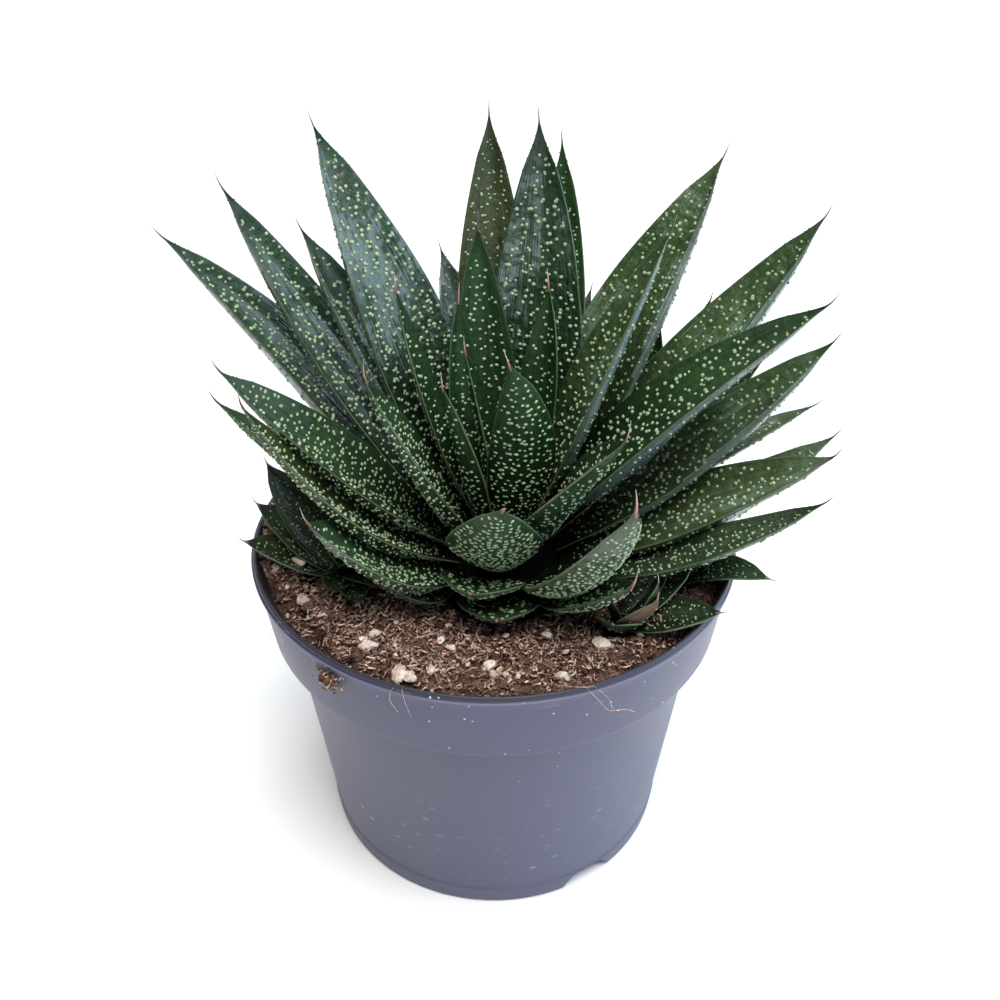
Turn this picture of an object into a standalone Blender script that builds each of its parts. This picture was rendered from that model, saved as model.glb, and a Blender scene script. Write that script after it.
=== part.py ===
"""Potted gasteria: a warty rosette with four offsets in a plastic nursery pot.

Run with blender --background --python part.py, or from Blender's text editor.
Everything is in metres with +Z up.  The origin is the middle of the pot's underside,
-Y is the front that the plant turns to the viewer.
"""

import math
import random

import bpy
import bmesh
import numpy as np
from mathutils import Vector, noise

MM = 0.001

# Pot: a 12 cm nursery pot with a tall collar, a stepped wall and a notched foot.
RIM_RADIUS = 60.0
POT_HEIGHT = 88.3
COLLAR_HEIGHT = 20.6
COLLAR_FOOT_RADIUS = 57.1
WALL_TOP_RADIUS = 52.6
FOOT_RADIUS = 46.0
FOOT_HEIGHT = 5.6
WALL = 1.9
FLOOR_RISE = 5.6
POT_SEGMENTS = 40
NOTCHES = 3
NOTCH_HEIGHT = 5.4
NOTCH_WIDTH = 8.0
NOTCH_RAMP = 4.3
NOTCH_TURN = -58.0
DRAIN_HOLES = 8
DRAIN_RADIUS = 3.6
DRAIN_CIRCLE = 29.0

# Clearance kept between pieces that touch on the real plant.
GAP = 0.35

# Soil: its surface stands a little under the rim and dips round the crown.
SOIL_EDGE_HEIGHT = 81.5
SOIL_HEIGHT = 83.8
SOIL_DIP_HEIGHT = 79.8
SOIL_SEGMENTS = 36
SOIL_RINGS = (55.0, 50.0, 43.5, 37.0, 30.5, 24.5, 19.5)
SOIL_LUMP = 1.3
CHIP_COUNT = 16
CHIP_SEED = 11

# Crown: the short stem under the soil and the dome that the leaves sit on.
CROWN_CENTRE = (2.0, -9.0)
CROWN_RADIUS = 15.5
CROWN_BASE = 70.0
CROWN_HEIGHT = 81.0
CROWN_SEGMENTS = 24

# Leaves of the rosette, in millimetres and degrees about the crown:
# azimuth, reach and height of the tip, width, arch, sideways sway, roll and dish.
LEAVES = {
    "leaf_back_1": (93, 53, 179, 19, -1, 0, 0, 0.15),
    "leaf_back_2": (76, 34, 183, 23, -10, -4, 0, 0.20),
    "leaf_back_3": (75, 57, 172, 16, -8, -8, 0, 0.15),
    "leaf_back_4": (102, 26, 162, 15, -5, 0, 0, 0.20),
    "leaf_back_5": (107, 53, 146, 15, 5, -4, 0, 0.15),
    "leaf_back_6": (65, 56, 135, 13, 0, 0, 0, 0.15),
    "leaf_rear_1": (72, 68, 120, 15, 8, 0, 0, 0.12),
    "leaf_rear_2": (98, 72, 110, 16, 9, 0, 0, 0.12),
    "leaf_rear_3": (122, 68, 124, 15, 8, 0, 0, 0.12),
    "leaf_rear_4": (141, 62, 106, 17, 8, 0, 0, 0.12),
    "leaf_rear_5": (57, 56, 98, 15, 12, 0, 0, 0.12),
    "leaf_rear_6": (85, 60, 93, 16, 14, 0, 0, 0.12),
    "leaf_rear_7": (114, 60, 96, 16, 14, 0, 0, 0.12),
    "leaf_left_1": (163, 81, 160, 20, 3, -9, 0, 0.15),
    "leaf_left_2": (154, 71, 169, 19, -2, 0, 0, 0.15),
    "leaf_left_3": (148, 55, 160, 18, 0, 0, 0, 0.20),
    "leaf_left_4": (137, 59, 180, 24, 5, 0, 0, 0.15),
    "leaf_left_5": (-172, 61, 143, 18, 0, 0, -17, 0.15),
    "leaf_left_6": (174, 67, 127, 15, -6, 0, 10, 0.15),
    "leaf_left_7": (-161, 57, 141, 17, -19, 0, -6, 0.15),
    "leaf_right_1": (37, 65, 173, 24, 6, 0, 0, 0.15),
    "leaf_right_2": (13, 37, 167, 17, 4, 0, 0, 0.20),
    "leaf_right_3": (17, 76, 165, 21, -1, 0, 8, 0.15),
    "leaf_right_4": (-4, 69, 156, 20, 17, -5, 12, 0.15),
    "leaf_right_5": (5, 75, 142, 19, -4, 0, 12, 0.15),
    "leaf_right_6": (16, 82, 116, 11, 6, 0, 0, 0.15),
    "leaf_right_7": (4, 79, 118, 18, -14, 0, 4, 0.15),
    "leaf_right_8": (-8, 75, 122, 20, 1, 0, 12, 0.15),
    "leaf_right_9": (-21, 73, 121, 13, -12, 0, 10, 0.15),
    "leaf_front_1": (-90, 35, 126, 21, -9, -4, 0, 0.15),
    "leaf_front_2": (-44, 36, 136, 20, 2, -4, 22, 0.35),
    "leaf_front_3": (-56, 47, 129, 22, -28, 0, 0, 0.20),
    "leaf_front_4": (-50, 44, 105, 17, -20, 0, 0, 0.15),
    "leaf_front_5": (-103, 33, 100, 19, 4, 0, 0, 0.15),
    "leaf_front_6": (-93, 31, 91, 18, 0, 0, 0, 0.15),
    "leaf_front_7": (-150, 38, 100, 14, -26, 4, 0, 0.15),
    "leaf_front_8": (-148, 50, 117, 20, -16, 0, -12, 0.15),
    "leaf_front_9": (-156, 32, 144, 19, -4, 0, -20, 0.20),
    "leaf_young_1": (160, 25, 155, 9, -8, 0, 0, 0.30),
    "leaf_young_2": (118, 21, 148, 10, 0, 3, 0, 0.30),
    "leaf_young_3": (50, 16, 154, 12, 2, -6, 0, 0.30),
    "leaf_young_4": (165, 9, 143, 9, 2, -2, 0, 0.35),
    "leaf_young_5": (-153, 15, 139, 9, -2, 2, 0, 0.35),
    "leaf_young_6": (-86, 11, 146, 15, 2, 8, 0, 0.25),
}

# The two youngest leaves are still part of the crown's growing point.
HEART = {
    "heart_1": (-10, 4, 111, 4, 0, 0, 0, 0.35),
    "heart_2": (-70, 3, 118, 5, 0, 0, 0, 0.35),
}

# Offsets: centre of each small crown and its own leaves, listed as above.
OFFSET_RADIUS = 4.6
OFFSET_HEIGHT = 83.0
OFFSET_BASE = 75.0
OFFSETS = {
    "offset_left": ((-36, -12), (
        (139, 27, 105, 12, -6, 0, 0, 0.20), (162, 23, 100, 12, 0, 0, 0, 0.20),
        (-175, 24, 95, 13, 4, 0, 0, 0.20), (-96, 14, 88, 8, 10, 0, 0, 0.25),
        (-54, 17, 90, 7, 14, 0, 0, 0.25), (-74, 20, 89, 8, 12, 0, 0, 0.25))),
    "offset_right": ((45, -15), (
        (-21, 22, 89, 10, 36, 0, 0, 0.15), (-36, 12, 96, 9, 34, 0, 0, 0.20),
        (30, 11, 90, 8, 20, 0, 0, 0.20))),
    "offset_front": ((29, -31), (
        (-13, 23, 91, 12, 8, 0, 0, 0.15), (-47, 10, 97, 11, -10, 0, 0, 0.30),
        (-107, 11, 92, 11, 6, 0, 0, 0.20), (-20, 8, 99, 6, -20, 0, 0, 0.30),
        (27, 20, 94, 9, 6, 0, 0, 0.30))),
    "offset_back": ((38, 20), (
        (77, 14, 134, 10, 4, 0, 0, 0.25), (95, 20, 122, 9, 4, 0, 0, 0.25),
        (42, 24, 135, 9, 4, 0, 0, 0.25), (7, 31, 124, 12, 2, 0, 0, 0.20),
        (-20, 23, 127, 10, 2, 0, 0, 0.20))),
}

# Shape of a leaf along its length.
NECK = 0.30
NECK_ROOM = 0.75
LOWEST_ROOT = 0.16
SPREAD_TURNS = 600
WIDEST_AT = 0.40
SWELL = 1.5
TAPER = 1.7
EDGE = 0.7
STATIONS = (0.0, 0.1, 0.22, 0.35, 0.48, 0.61, 0.74, 0.86, 0.95)
SMALL_STATIONS = (0.0, 0.2, 0.45, 0.7, 0.9)
SECTION = ((-1.0, 1), (0.0, 1), (1.0, 1),
           (1.0, -1), (0.55, -1), (0.0, -1), (-0.55, -1), (-1.0, -1))
STUD_SIZE = 1.7
STUD_HEIGHT = 0.5


def clear_scene():
    for item in list(bpy.data.objects):
        bpy.data.objects.remove(item, do_unlink=True)


def material(name, colour, roughness):
    made = bpy.data.materials.new(name)
    made.use_nodes = True
    shader = made.node_tree.nodes["Principled BSDF"]
    shader.inputs["Base Color"].default_value = (*colour, 1.0)
    shader.inputs["Roughness"].default_value = roughness
    shader.inputs["Metallic"].default_value = 0.0
    return made


def add_object(name, mesh, surface, smooth_angle=None):
    item = bpy.data.objects.new(name, mesh)
    bpy.context.scene.collection.objects.link(item)
    mesh.materials.append(surface)
    if smooth_angle is not None:
        mesh.shade_smooth()
        mesh.set_sharp_from_angle(angle=math.radians(smooth_angle))
    return item


def mesh_from(name, points, faces):
    """Make a mesh from points in millimetres and faces that point outwards."""
    mesh = bpy.data.meshes.new(name)
    mesh.from_pydata([Vector(point) * MM for point in points], [], faces)
    mesh.validate()
    return mesh


def turned_mesh(name, profile, segments, centre=(0.0, 0.0)):
    """Turn a profile of (radius, height) that runs from axis to axis, upwards outside."""
    points = []
    rings = []
    for radius, height in profile:
        if radius == 0.0:
            rings.append([len(points)])
            points.append((centre[0], centre[1], height))
            continue
        rings.append(list(range(len(points), len(points) + segments)))
        for step in range(segments):
            angle = math.tau * step / segments
            points.append((centre[0] + radius * math.cos(angle),
                           centre[1] + radius * math.sin(angle), height))
    faces = []
    for low, high in zip(rings, rings[1:]):
        for step in range(segments):
            after = (step + 1) % segments
            if len(low) == 1:
                faces.append((low[0], high[after], high[step]))
            elif len(high) == 1:
                faces.append((low[step], low[after], high[0]))
            else:
                faces.append((low[step], low[after], high[after], high[step]))
    return mesh_from(name, points, faces)


def tidy_mesh(mesh):
    """Dissolve the needle faces that a Boolean can leave and split its large faces."""
    work = bmesh.new()
    work.from_mesh(mesh)
    bmesh.ops.dissolve_degenerate(work, edges=work.edges, dist=1e-6)
    bmesh.ops.triangulate(work, faces=[face for face in work.faces if len(face.verts) > 4])
    work.to_mesh(mesh)
    work.free()


def apply_boolean(target, tools, operation, solver="EXACT"):
    """Apply one Boolean with every tool to the target and remove the tools."""
    group = bpy.data.collections.new(target.name + "_tools")
    bpy.context.scene.collection.children.link(group)
    for tool in tools:
        bpy.context.scene.collection.objects.unlink(tool)
        group.objects.link(tool)
        tool.hide_render = True
        tool.display_type = "WIRE"
    modifier = target.modifiers.new("join", "BOOLEAN")
    modifier.operation = operation
    modifier.operand_type = "COLLECTION"
    modifier.collection = group
    modifier.solver = solver
    bpy.context.view_layer.update()
    graph = bpy.context.evaluated_depsgraph_get()
    result = bpy.data.meshes.new_from_object(target.evaluated_get(graph))
    tidy_mesh(result)
    target.modifiers.clear()
    target.data = result
    for tool in tools:
        bpy.data.objects.remove(tool, do_unlink=True)
    bpy.data.collections.remove(group)


def leaf_frame(azimuth):
    angle = math.radians(azimuth)
    outward = Vector((math.cos(angle), math.sin(angle), 0.0))
    sideways = Vector((-math.sin(angle), math.cos(angle), 0.0))
    return outward, sideways


def leaf_tip(spec, centre):
    outward, _ = leaf_frame(spec[0])
    return Vector((centre[0], centre[1], 0.0)) + outward * spec[1] + Vector((0, 0, spec[2]))


def home_root(spec, centre, height):
    """Direction from the crown's centre in which a leaf would leave by itself."""
    outward, _ = leaf_frame(spec[0])
    aim = leaf_tip(spec, centre) - Vector((centre[0], centre[1], height))
    rise = math.asin(aim.normalized().z) + math.radians(spec[4]) * 0.6
    return outward * math.cos(rise) + Vector((0, 0, math.sin(rise)))


def leaf_thickness(spec):
    return 0.15 * spec[3] + 0.7


def spread_roots(specs, centre, height, radius):
    """Push the necks of the leaves apart on the crown until each has room.

    A neck is treated as three balls side by side that stay on the crown's sphere.
    """
    home = np.array([home_root(spec, centre, height) for spec in specs])
    sideways = np.array([leaf_frame(spec[0])[1] for spec in specs])
    ball = np.array([NECK_ROOM * leaf_thickness(spec) / 2 for spec in specs])
    spacing = np.array([NECK * spec[3] / 2 for spec in specs]) - ball
    room = ball[:, None] + ball[None, :] + GAP
    roots = home.copy()
    reach = radius + 2 * GAP
    for turn in range(SPREAD_TURNS):
        push = np.zeros_like(roots)
        for first in (-1, 0, 1):
            for second in (-1, 0, 1):
                start = roots * reach + sideways * (first * spacing)[:, None]
                other = roots * reach + sideways * (second * spacing)[:, None]
                between = start[:, None] - other[None, :]
                distance = np.linalg.norm(between, axis=2)
                np.fill_diagonal(distance, 100.0)
                short = np.maximum(room - distance, 0.0)
                push += (between * (short / np.maximum(distance, 0.01))[:, :, None]).sum(axis=1)
        pull = 0.01 * (1 - turn / SPREAD_TURNS)
        roots = roots + push / reach * 0.12 + (home - roots) * pull
        roots[:, 2] = np.maximum(roots[:, 2], LOWEST_ROOT)
        roots /= np.linalg.norm(roots, axis=1)[:, None]
    return [Vector(root) for root in roots]


def leaf_curve(spec, centre, height, radius, root):
    """Return a function that gives point, tangent, side and normal along a leaf."""
    outward, sideways = leaf_frame(spec[0])
    middle = Vector((centre[0], centre[1], height))
    start = middle + root * (radius + 2 * GAP)
    tip = leaf_tip(spec, centre)
    chord = tip - start
    rise = math.atan2(chord.z, chord.dot(outward)) + math.radians(spec[4])
    bend = start + chord.length * 0.5 * (outward * math.cos(rise) + Vector((0, 0, math.sin(rise))))
    bend += sideways * spec[5]

    def at(along):
        point = start * (1 - along) ** 2 + bend * 2 * along * (1 - along) + tip * along ** 2
        tangent = ((bend - start) * (1 - along) + (tip - bend) * along).normalized()
        side = (sideways - tangent * sideways.dot(tangent)).normalized()
        normal = side.cross(tangent)
        if normal.dot(Vector((0, 0, 1)) - outward * 0.6) < 0:
            normal = -normal
        roll = math.radians(spec[6]) * (0.3 + 0.7 * along)
        return (point, tangent, side * math.cos(roll) + normal * math.sin(roll),
                normal * math.cos(roll) - side * math.sin(roll))
    return at


def leaf_half_width(spec, along):
    if along < WIDEST_AT:
        share = NECK + (1 - NECK) * math.sin(math.pi / 2 * along / WIDEST_AT) ** SWELL
    else:
        share = 1 - ((along - WIDEST_AT) / (1 - WIDEST_AT)) ** TAPER
    return spec[3] / 2 * share


def leaf_depth(spec, along):
    """Thickness at the middle of the leaf: a slim neck, a full belly and a thin tip."""
    full = leaf_thickness(spec)
    belly = 0.55 + 0.45 * min(along / 0.25, 1.0)
    return max(full * belly * (1 - along) ** 0.6, 1.0)


def leaf_points(spec, curve, along):
    """Eight points round the leaf: three on the upper face, five underneath."""
    point, _, side, normal = curve(along)
    half = max(leaf_half_width(spec, along), 0.5)
    depth = leaf_depth(spec, along)
    lift = spec[7] * half
    ring = []
    for across, face in SECTION:
        rim = lift * across * across
        if face > 0:
            offset = rim + (EDGE / 2) * abs(across)
        else:
            offset = rim - EDGE / 2 - (depth - EDGE / 2) * (1 - abs(across) ** 1.6)
        ring.append(point + side * across * half + normal * offset)
    return ring


def add_stud(points, faces, quad, place, size, height):
    """Replace a quad by the same quad with a small raised tubercle on it."""
    corner = [Vector(points[index]) for index in quad]

    def at(u, v):
        low = corner[0].lerp(corner[1], u)
        high = corner[3].lerp(corner[2], u)
        return low.lerp(high, v)
    width = (at(1, place[1]) - at(0, place[1])).length
    length = (at(place[0], 1) - at(place[0], 0)).length
    du = min(size / width / 2, 0.3)
    dv = min(size / length / 2, 0.3)
    first = len(points)
    for u, v in ((-du, -dv), (du, -dv), (du, dv), (-du, dv)):
        points.append(tuple(at(place[0] + u, place[1] + v)))
    normal = (corner[1] - corner[0]).cross(corner[3] - corner[0]).normalized()
    points.append(tuple(at(*place) + normal * height))
    for step in range(4):
        after = (step + 1) % 4
        faces.append((quad[step], quad[after], first + after, first + step))
        faces.append((first + step, first + after, first + 4))


def leaf_mesh(name, spec, centre, height, radius, root, stations, studs, sunk=0.0):
    """Build one closed leaf; its neck follows the crown, or sinks into it to be joined."""
    curve = leaf_curve(spec, centre, height, radius, root)
    middle = Vector((centre[0], centre[1], height))
    points = []
    rings = []
    for along in stations:
        ring = leaf_points(spec, curve, along)
        if along == 0.0:
            seat = radius + 2 * GAP - sunk
            ring = [middle + (item - middle).normalized() * seat for item in ring]
        rings.append(list(range(len(points), len(points) + len(ring))))
        points.extend(tuple(item) for item in ring)
    count = len(SECTION)
    faces = [tuple(rings[0])]
    for level, (low, high) in enumerate(zip(rings, rings[1:])):
        for step in range(count):
            after = (step + 1) % count
            quad = (low[after], low[step], high[step], high[after])
            on_top = step == level % 2
            below = step == (4, 5)[level % 2]
            if studs and level >= 2 and level < len(stations) - 2 and (on_top or below):
                place = (0.42, 0.5) if level % 3 else (0.6, 0.45)
                add_stud(points, faces, quad, place, STUD_SIZE, STUD_HEIGHT)
            else:
                faces.append(quad)
    apex = len(points)
    points.append(tuple(curve(1.0)[0]))
    last = rings[-1]
    for step in range(count):
        faces.append((last[(step + 1) % count], last[step], apex))
    return mesh_from(name, points, faces)


def turn_faces_out(mesh):
    work = bmesh.new()
    work.from_mesh(mesh)
    bmesh.ops.recalc_face_normals(work, faces=work.faces)
    bmesh.ops.triangulate(work, faces=[face for face in work.faces if len(face.verts) > 4])
    work.to_mesh(mesh)
    work.free()


def pot_inner_wall():
    """Inside of the pot, from the floor's edge up to the lip, as (radius, height)."""
    step = POT_HEIGHT - COLLAR_HEIGHT
    return [
        (FOOT_RADIUS - WALL + 0.3, FLOOR_RISE + WALL),
        (WALL_TOP_RADIUS - WALL, step - 1.5),
        (COLLAR_FOOT_RADIUS - WALL, step + 2.2),
        (RIM_RADIUS - WALL - 1.0, POT_HEIGHT - 2.4),
    ]


def build_pot(surface):
    step = POT_HEIGHT - COLLAR_HEIGHT
    outside = [
        (0.0, 0.0), (17.0, 0.0), (19.0, FLOOR_RISE), (FOOT_RADIUS - 4.4, FLOOR_RISE),
        (FOOT_RADIUS - 3.4, 0.0), (FOOT_RADIUS - 0.6, 0.0), (FOOT_RADIUS, 0.7),
        (FOOT_RADIUS + 0.5, FOOT_HEIGHT), (FOOT_RADIUS + 0.3, FOOT_HEIGHT + 0.6),
        (WALL_TOP_RADIUS, step - 0.6), (COLLAR_FOOT_RADIUS - 0.5, step + 0.1),
        (COLLAR_FOOT_RADIUS, step + 0.9), (RIM_RADIUS - 1.0, POT_HEIGHT - 3.4),
        (RIM_RADIUS, POT_HEIGHT - 2.2), (RIM_RADIUS - 0.3, POT_HEIGHT - 0.4),
        (RIM_RADIUS - 1.4, POT_HEIGHT), (RIM_RADIUS - 2.6, POT_HEIGHT - 0.6),
    ]
    inside = list(reversed(pot_inner_wall()))
    pot = add_object("pot", turned_mesh("pot", outside + inside + [(0.0, FLOOR_RISE + WALL)], POT_SEGMENTS),
                     surface, smooth_angle=30)
    cutters = []
    for index in range(NOTCHES):
        turn = math.radians(NOTCH_TURN) + math.tau * index / NOTCHES
        cutters.append(notch_cutter(turn))
    for index in range(DRAIN_HOLES):
        turn = math.radians(NOTCH_TURN) + math.tau * (index + 0.5) / DRAIN_HOLES
        place = (DRAIN_CIRCLE * math.cos(turn), DRAIN_CIRCLE * math.sin(turn))
        profile = [(0.0, -1.0), (DRAIN_RADIUS, -1.0), (DRAIN_RADIUS, 12.0), (0.0, 12.0)]
        cutters.append(add_object("drain", turned_mesh("drain", profile, 10, place), surface))
    apply_boolean(pot, cutters, "DIFFERENCE")
    return pot


def notch_cutter(turn):
    """A wedge with sloping ends that cuts one gap in the foot."""
    half_low = NOTCH_WIDTH / 2 + NOTCH_RAMP
    half_high = NOTCH_WIDTH / 2
    outline = ((-half_low, -1.0), (half_low, -1.0), (half_high, NOTCH_HEIGHT), (-half_high, NOTCH_HEIGHT))
    along = Vector((math.cos(turn), math.sin(turn), 0.0))
    across = Vector((-math.sin(turn), math.cos(turn), 0.0))
    points = []
    for distance in (FOOT_RADIUS - 8.0, FOOT_RADIUS + 2.0):
        for offset, level in outline:
            points.append(tuple(along * distance + across * offset + Vector((0, 0, level))))
    faces = [(0, 3, 2, 1), (4, 5, 6, 7)]
    for step in range(4):
        after = (step + 1) % 4
        faces.append((step, after, 4 + after, 4 + step))
    mesh = mesh_from("notch", points, faces)
    turn_faces_out(mesh)
    cutter = bpy.data.objects.new("notch", mesh)
    bpy.context.scene.collection.objects.link(cutter)
    return cutter


def soil_height(x, y):
    """Lumpy surface of the soil, which dips round the crown and towards the wall."""
    from_crown = math.hypot(x - CROWN_CENTRE[0], y - CROWN_CENTRE[1])
    from_axis = math.hypot(x, y)
    dip = min(max((from_crown - CROWN_RADIUS - 2.0) / 14.0, 0.0), 1.0)
    edge = min(max((56.0 - from_axis) / 12.0, 0.0), 1.0)
    level = SOIL_DIP_HEIGHT + (SOIL_HEIGHT - SOIL_DIP_HEIGHT) * dip
    level = min(level, SOIL_EDGE_HEIGHT + (SOIL_HEIGHT - SOIL_EDGE_HEIGHT) * edge)
    lump = noise.noise(Vector((x, y, 3.0)) * 0.17) + 0.6 * noise.noise(Vector((x, y, 9.0)) * 0.41)
    return level + SOIL_LUMP * lump * dip


def soil_mesh():
    """Soil body: relief on top, the pot's inner wall and floor below, a hole for the crown."""
    points = []
    rings = []

    def add_ring(radius, height, centre=(0.0, 0.0)):
        rings.append(list(range(len(points), len(points) + SOIL_SEGMENTS)))
        for step in range(SOIL_SEGMENTS):
            angle = math.tau * step / SOIL_SEGMENTS
            x = centre[0] + radius * math.cos(angle)
            y = centre[1] + radius * math.sin(angle)
            points.append((x, y, soil_height(x, y) if height is None else height))

    bottom = FLOOR_RISE + WALL + GAP
    for index, (radius, height) in enumerate(pot_inner_wall()[:-1]):
        add_ring(radius - GAP, bottom if index == 0 else height)
    for index, radius in enumerate(SOIL_RINGS):
        share = index / (len(SOIL_RINGS) - 1)
        centre = (CROWN_CENTRE[0] * share, CROWN_CENTRE[1] * share)
        add_ring(radius, None, centre)
    hole = CROWN_RADIUS + GAP
    add_ring(hole, SOIL_DIP_HEIGHT, CROWN_CENTRE)
    add_ring(hole, CROWN_BASE - GAP, CROWN_CENTRE)
    faces = []
    for low, high in zip(rings, rings[1:]):
        for step in range(SOIL_SEGMENTS):
            after = (step + 1) % SOIL_SEGMENTS
            faces.append((low[step], low[after], high[after], high[step]))
    for ring, level, centre, low in ((rings[0], bottom, (0.0, 0.0), True),
                                     (rings[-1], CROWN_BASE - GAP, CROWN_CENTRE, False)):
        middle = len(points)
        points.append((centre[0], centre[1], level))
        for step in range(SOIL_SEGMENTS):
            after = (step + 1) % SOIL_SEGMENTS
            if low:
                faces.append((middle, ring[after], ring[step]))
            else:
                faces.append((middle, ring[step], ring[after]))
    return mesh_from("soil", points, faces)


def chip_places():
    """Seeded places for the perlite chips, on open soil and clear of the offsets."""
    draw = random.Random(CHIP_SEED)
    places = []
    while len(places) < CHIP_COUNT:
        angle = draw.uniform(0, math.tau)
        radius = draw.uniform(30.0, 50.0)
        x, y = radius * math.cos(angle), radius * math.sin(angle)
        size = draw.uniform(1.6, 2.6)
        clear = all(math.hypot(x - ox, y - oy) > 9.0 for (ox, oy), _ in OFFSETS.values())
        clear = clear and all(math.hypot(x - px, y - py) > 6.5 for px, py, _ in places)
        if clear and math.hypot(x - CROWN_CENTRE[0], y - CROWN_CENTRE[1]) > 24.0:
            places.append((x, y, size))
    return places


def build_soil(surface):
    soil = add_object("soil", soil_mesh(), surface, smooth_angle=60)
    draw = random.Random(CHIP_SEED + 1)
    chips = []
    for x, y, size in chip_places():
        work = bmesh.new()
        bmesh.ops.create_icosphere(work, subdivisions=1, radius=size * MM)
        stretch = Vector((draw.uniform(0.9, 1.3), draw.uniform(0.8, 1.1), 0.75))
        turn = draw.uniform(0, math.tau)
        for vertex in work.verts:
            flat = Vector((vertex.co.x * stretch.x, vertex.co.y * stretch.y, vertex.co.z * stretch.z))
            vertex.co = Vector((
                flat.x * math.cos(turn) - flat.y * math.sin(turn) + x * MM,
                flat.x * math.sin(turn) + flat.y * math.cos(turn) + y * MM,
                flat.z + (soil_height(x, y) + size * 0.1) * MM))
        mesh = bpy.data.meshes.new("chip")
        work.to_mesh(mesh)
        work.free()
        chips.append(add_object("chip", mesh, surface))
    apply_boolean(soil, chips, "UNION", "MANIFOLD")
    sockets = []
    for (x, y), _ in OFFSETS.values():
        profile = [(0.0, OFFSET_BASE - GAP), (OFFSET_RADIUS + GAP, OFFSET_BASE - GAP),
                   (OFFSET_RADIUS + GAP, 95.0), (0.0, 95.0)]
        sockets.append(add_object("socket", turned_mesh("socket", profile, 14, (x, y)), surface))
    apply_boolean(soil, sockets, "DIFFERENCE", "MANIFOLD")
    return soil


def crown_profile(radius, height, base, rings):
    profile = [(0.0, base), (radius, base)]
    for index in range(rings):
        angle = math.pi / 2 * index / rings
        profile.append((radius * math.cos(angle), height + radius * math.sin(angle)))
    profile.append((0.0, height + radius))
    return profile


def build_rosette(green, stem):
    names = list(LEAVES) + list(HEART)
    specs = list(LEAVES.values()) + list(HEART.values())
    roots = spread_roots(specs, CROWN_CENTRE, CROWN_HEIGHT, CROWN_RADIUS)
    profile = crown_profile(CROWN_RADIUS, CROWN_HEIGHT, CROWN_BASE, 5)
    crown = add_object("crown", turned_mesh("crown", profile, CROWN_SEGMENTS, CROWN_CENTRE), stem,
                       smooth_angle=40)
    spikes = []
    for name, spec, root in zip(names, specs, roots):
        in_heart = name in HEART
        mesh = leaf_mesh(name, spec, CROWN_CENTRE, CROWN_HEIGHT, CROWN_RADIUS, root,
                         SMALL_STATIONS if in_heart else STATIONS, not in_heart,
                         sunk=3.0 if in_heart else 0.0)
        turn_faces_out(mesh)
        leaf = add_object(name, mesh, green, smooth_angle=35)
        if in_heart:
            spikes.append(leaf)
    apply_boolean(crown, spikes, "UNION", "MANIFOLD")


def build_offset(name, centre, specs, green):
    profile = crown_profile(OFFSET_RADIUS, OFFSET_HEIGHT, OFFSET_BASE, 3)
    body = add_object(name, turned_mesh(name, profile, 12, centre), green, smooth_angle=35)
    leaves = []
    for index, spec in enumerate(specs):
        root = home_root(spec, centre, OFFSET_HEIGHT)
        mesh = leaf_mesh("offset_leaf", spec, centre, OFFSET_HEIGHT, OFFSET_RADIUS, root,
                         SMALL_STATIONS, False, sunk=2.5)
        turn_faces_out(mesh)
        leaves.append(add_object(f"offset_leaf_{index}", mesh, green))
    apply_boolean(body, leaves, "UNION", "MANIFOLD")


def main():
    clear_scene()
    grey = material("grey_plastic", (0.16, 0.165, 0.22), 0.45)
    peat = material("peat", (0.09, 0.055, 0.04), 0.95)
    green = material("leaf_green", (0.02, 0.07, 0.02), 0.35)
    pale = material("crown_green", (0.16, 0.2, 0.08), 0.6)
    build_pot(grey)
    build_soil(peat)
    build_rosette(green, pale)
    for name, (centre, specs) in OFFSETS.items():
        build_offset(name, centre, specs, green)


main()
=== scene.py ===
"""Dressed model of the potted gasteria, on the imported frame.

Shapes are worked out in millimetres and turned into metres when a mesh is made.
Leaves are named and placed as in the frame: azimuth, reach and height of the tip,
width, arch, sideways sway, roll and dish.
"""

import math
from functools import cache, cached_property

import bmesh
import bpy
import numpy as np
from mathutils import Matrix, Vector, noise


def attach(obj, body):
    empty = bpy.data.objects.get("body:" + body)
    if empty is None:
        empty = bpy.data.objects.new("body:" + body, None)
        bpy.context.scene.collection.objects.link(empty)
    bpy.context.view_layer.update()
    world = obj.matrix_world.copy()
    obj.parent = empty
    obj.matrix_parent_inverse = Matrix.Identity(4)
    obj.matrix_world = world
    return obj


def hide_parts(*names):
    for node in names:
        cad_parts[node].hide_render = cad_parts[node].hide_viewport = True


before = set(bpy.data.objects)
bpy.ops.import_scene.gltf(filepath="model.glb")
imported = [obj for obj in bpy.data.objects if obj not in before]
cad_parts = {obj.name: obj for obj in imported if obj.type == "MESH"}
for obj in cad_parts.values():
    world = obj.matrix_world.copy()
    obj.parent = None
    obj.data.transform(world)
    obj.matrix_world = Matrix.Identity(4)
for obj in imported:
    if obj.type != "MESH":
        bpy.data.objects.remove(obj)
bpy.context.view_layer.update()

MM = 0.001

# ------------------------------------------------------------------ sizes shared with the frame
RIM_RADIUS = 60.0
POT_HEIGHT = 88.3
COLLAR_HEIGHT = 20.6
COLLAR_FOOT_RADIUS = 57.1
WALL_TOP_RADIUS = 52.6
FOOT_RADIUS = 46.0
FOOT_HEIGHT = 5.6
WALL = 1.9
FLOOR_RISE = 5.6
NOTCHES = 3
NOTCH_HEIGHT = 5.4
NOTCH_WIDTH = 8.0
NOTCH_RAMP = 4.3
NOTCH_TURN = -58.0
DRAIN_HOLES = 8
DRAIN_RADIUS = 3.6
DRAIN_CIRCLE = 29.0
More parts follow.
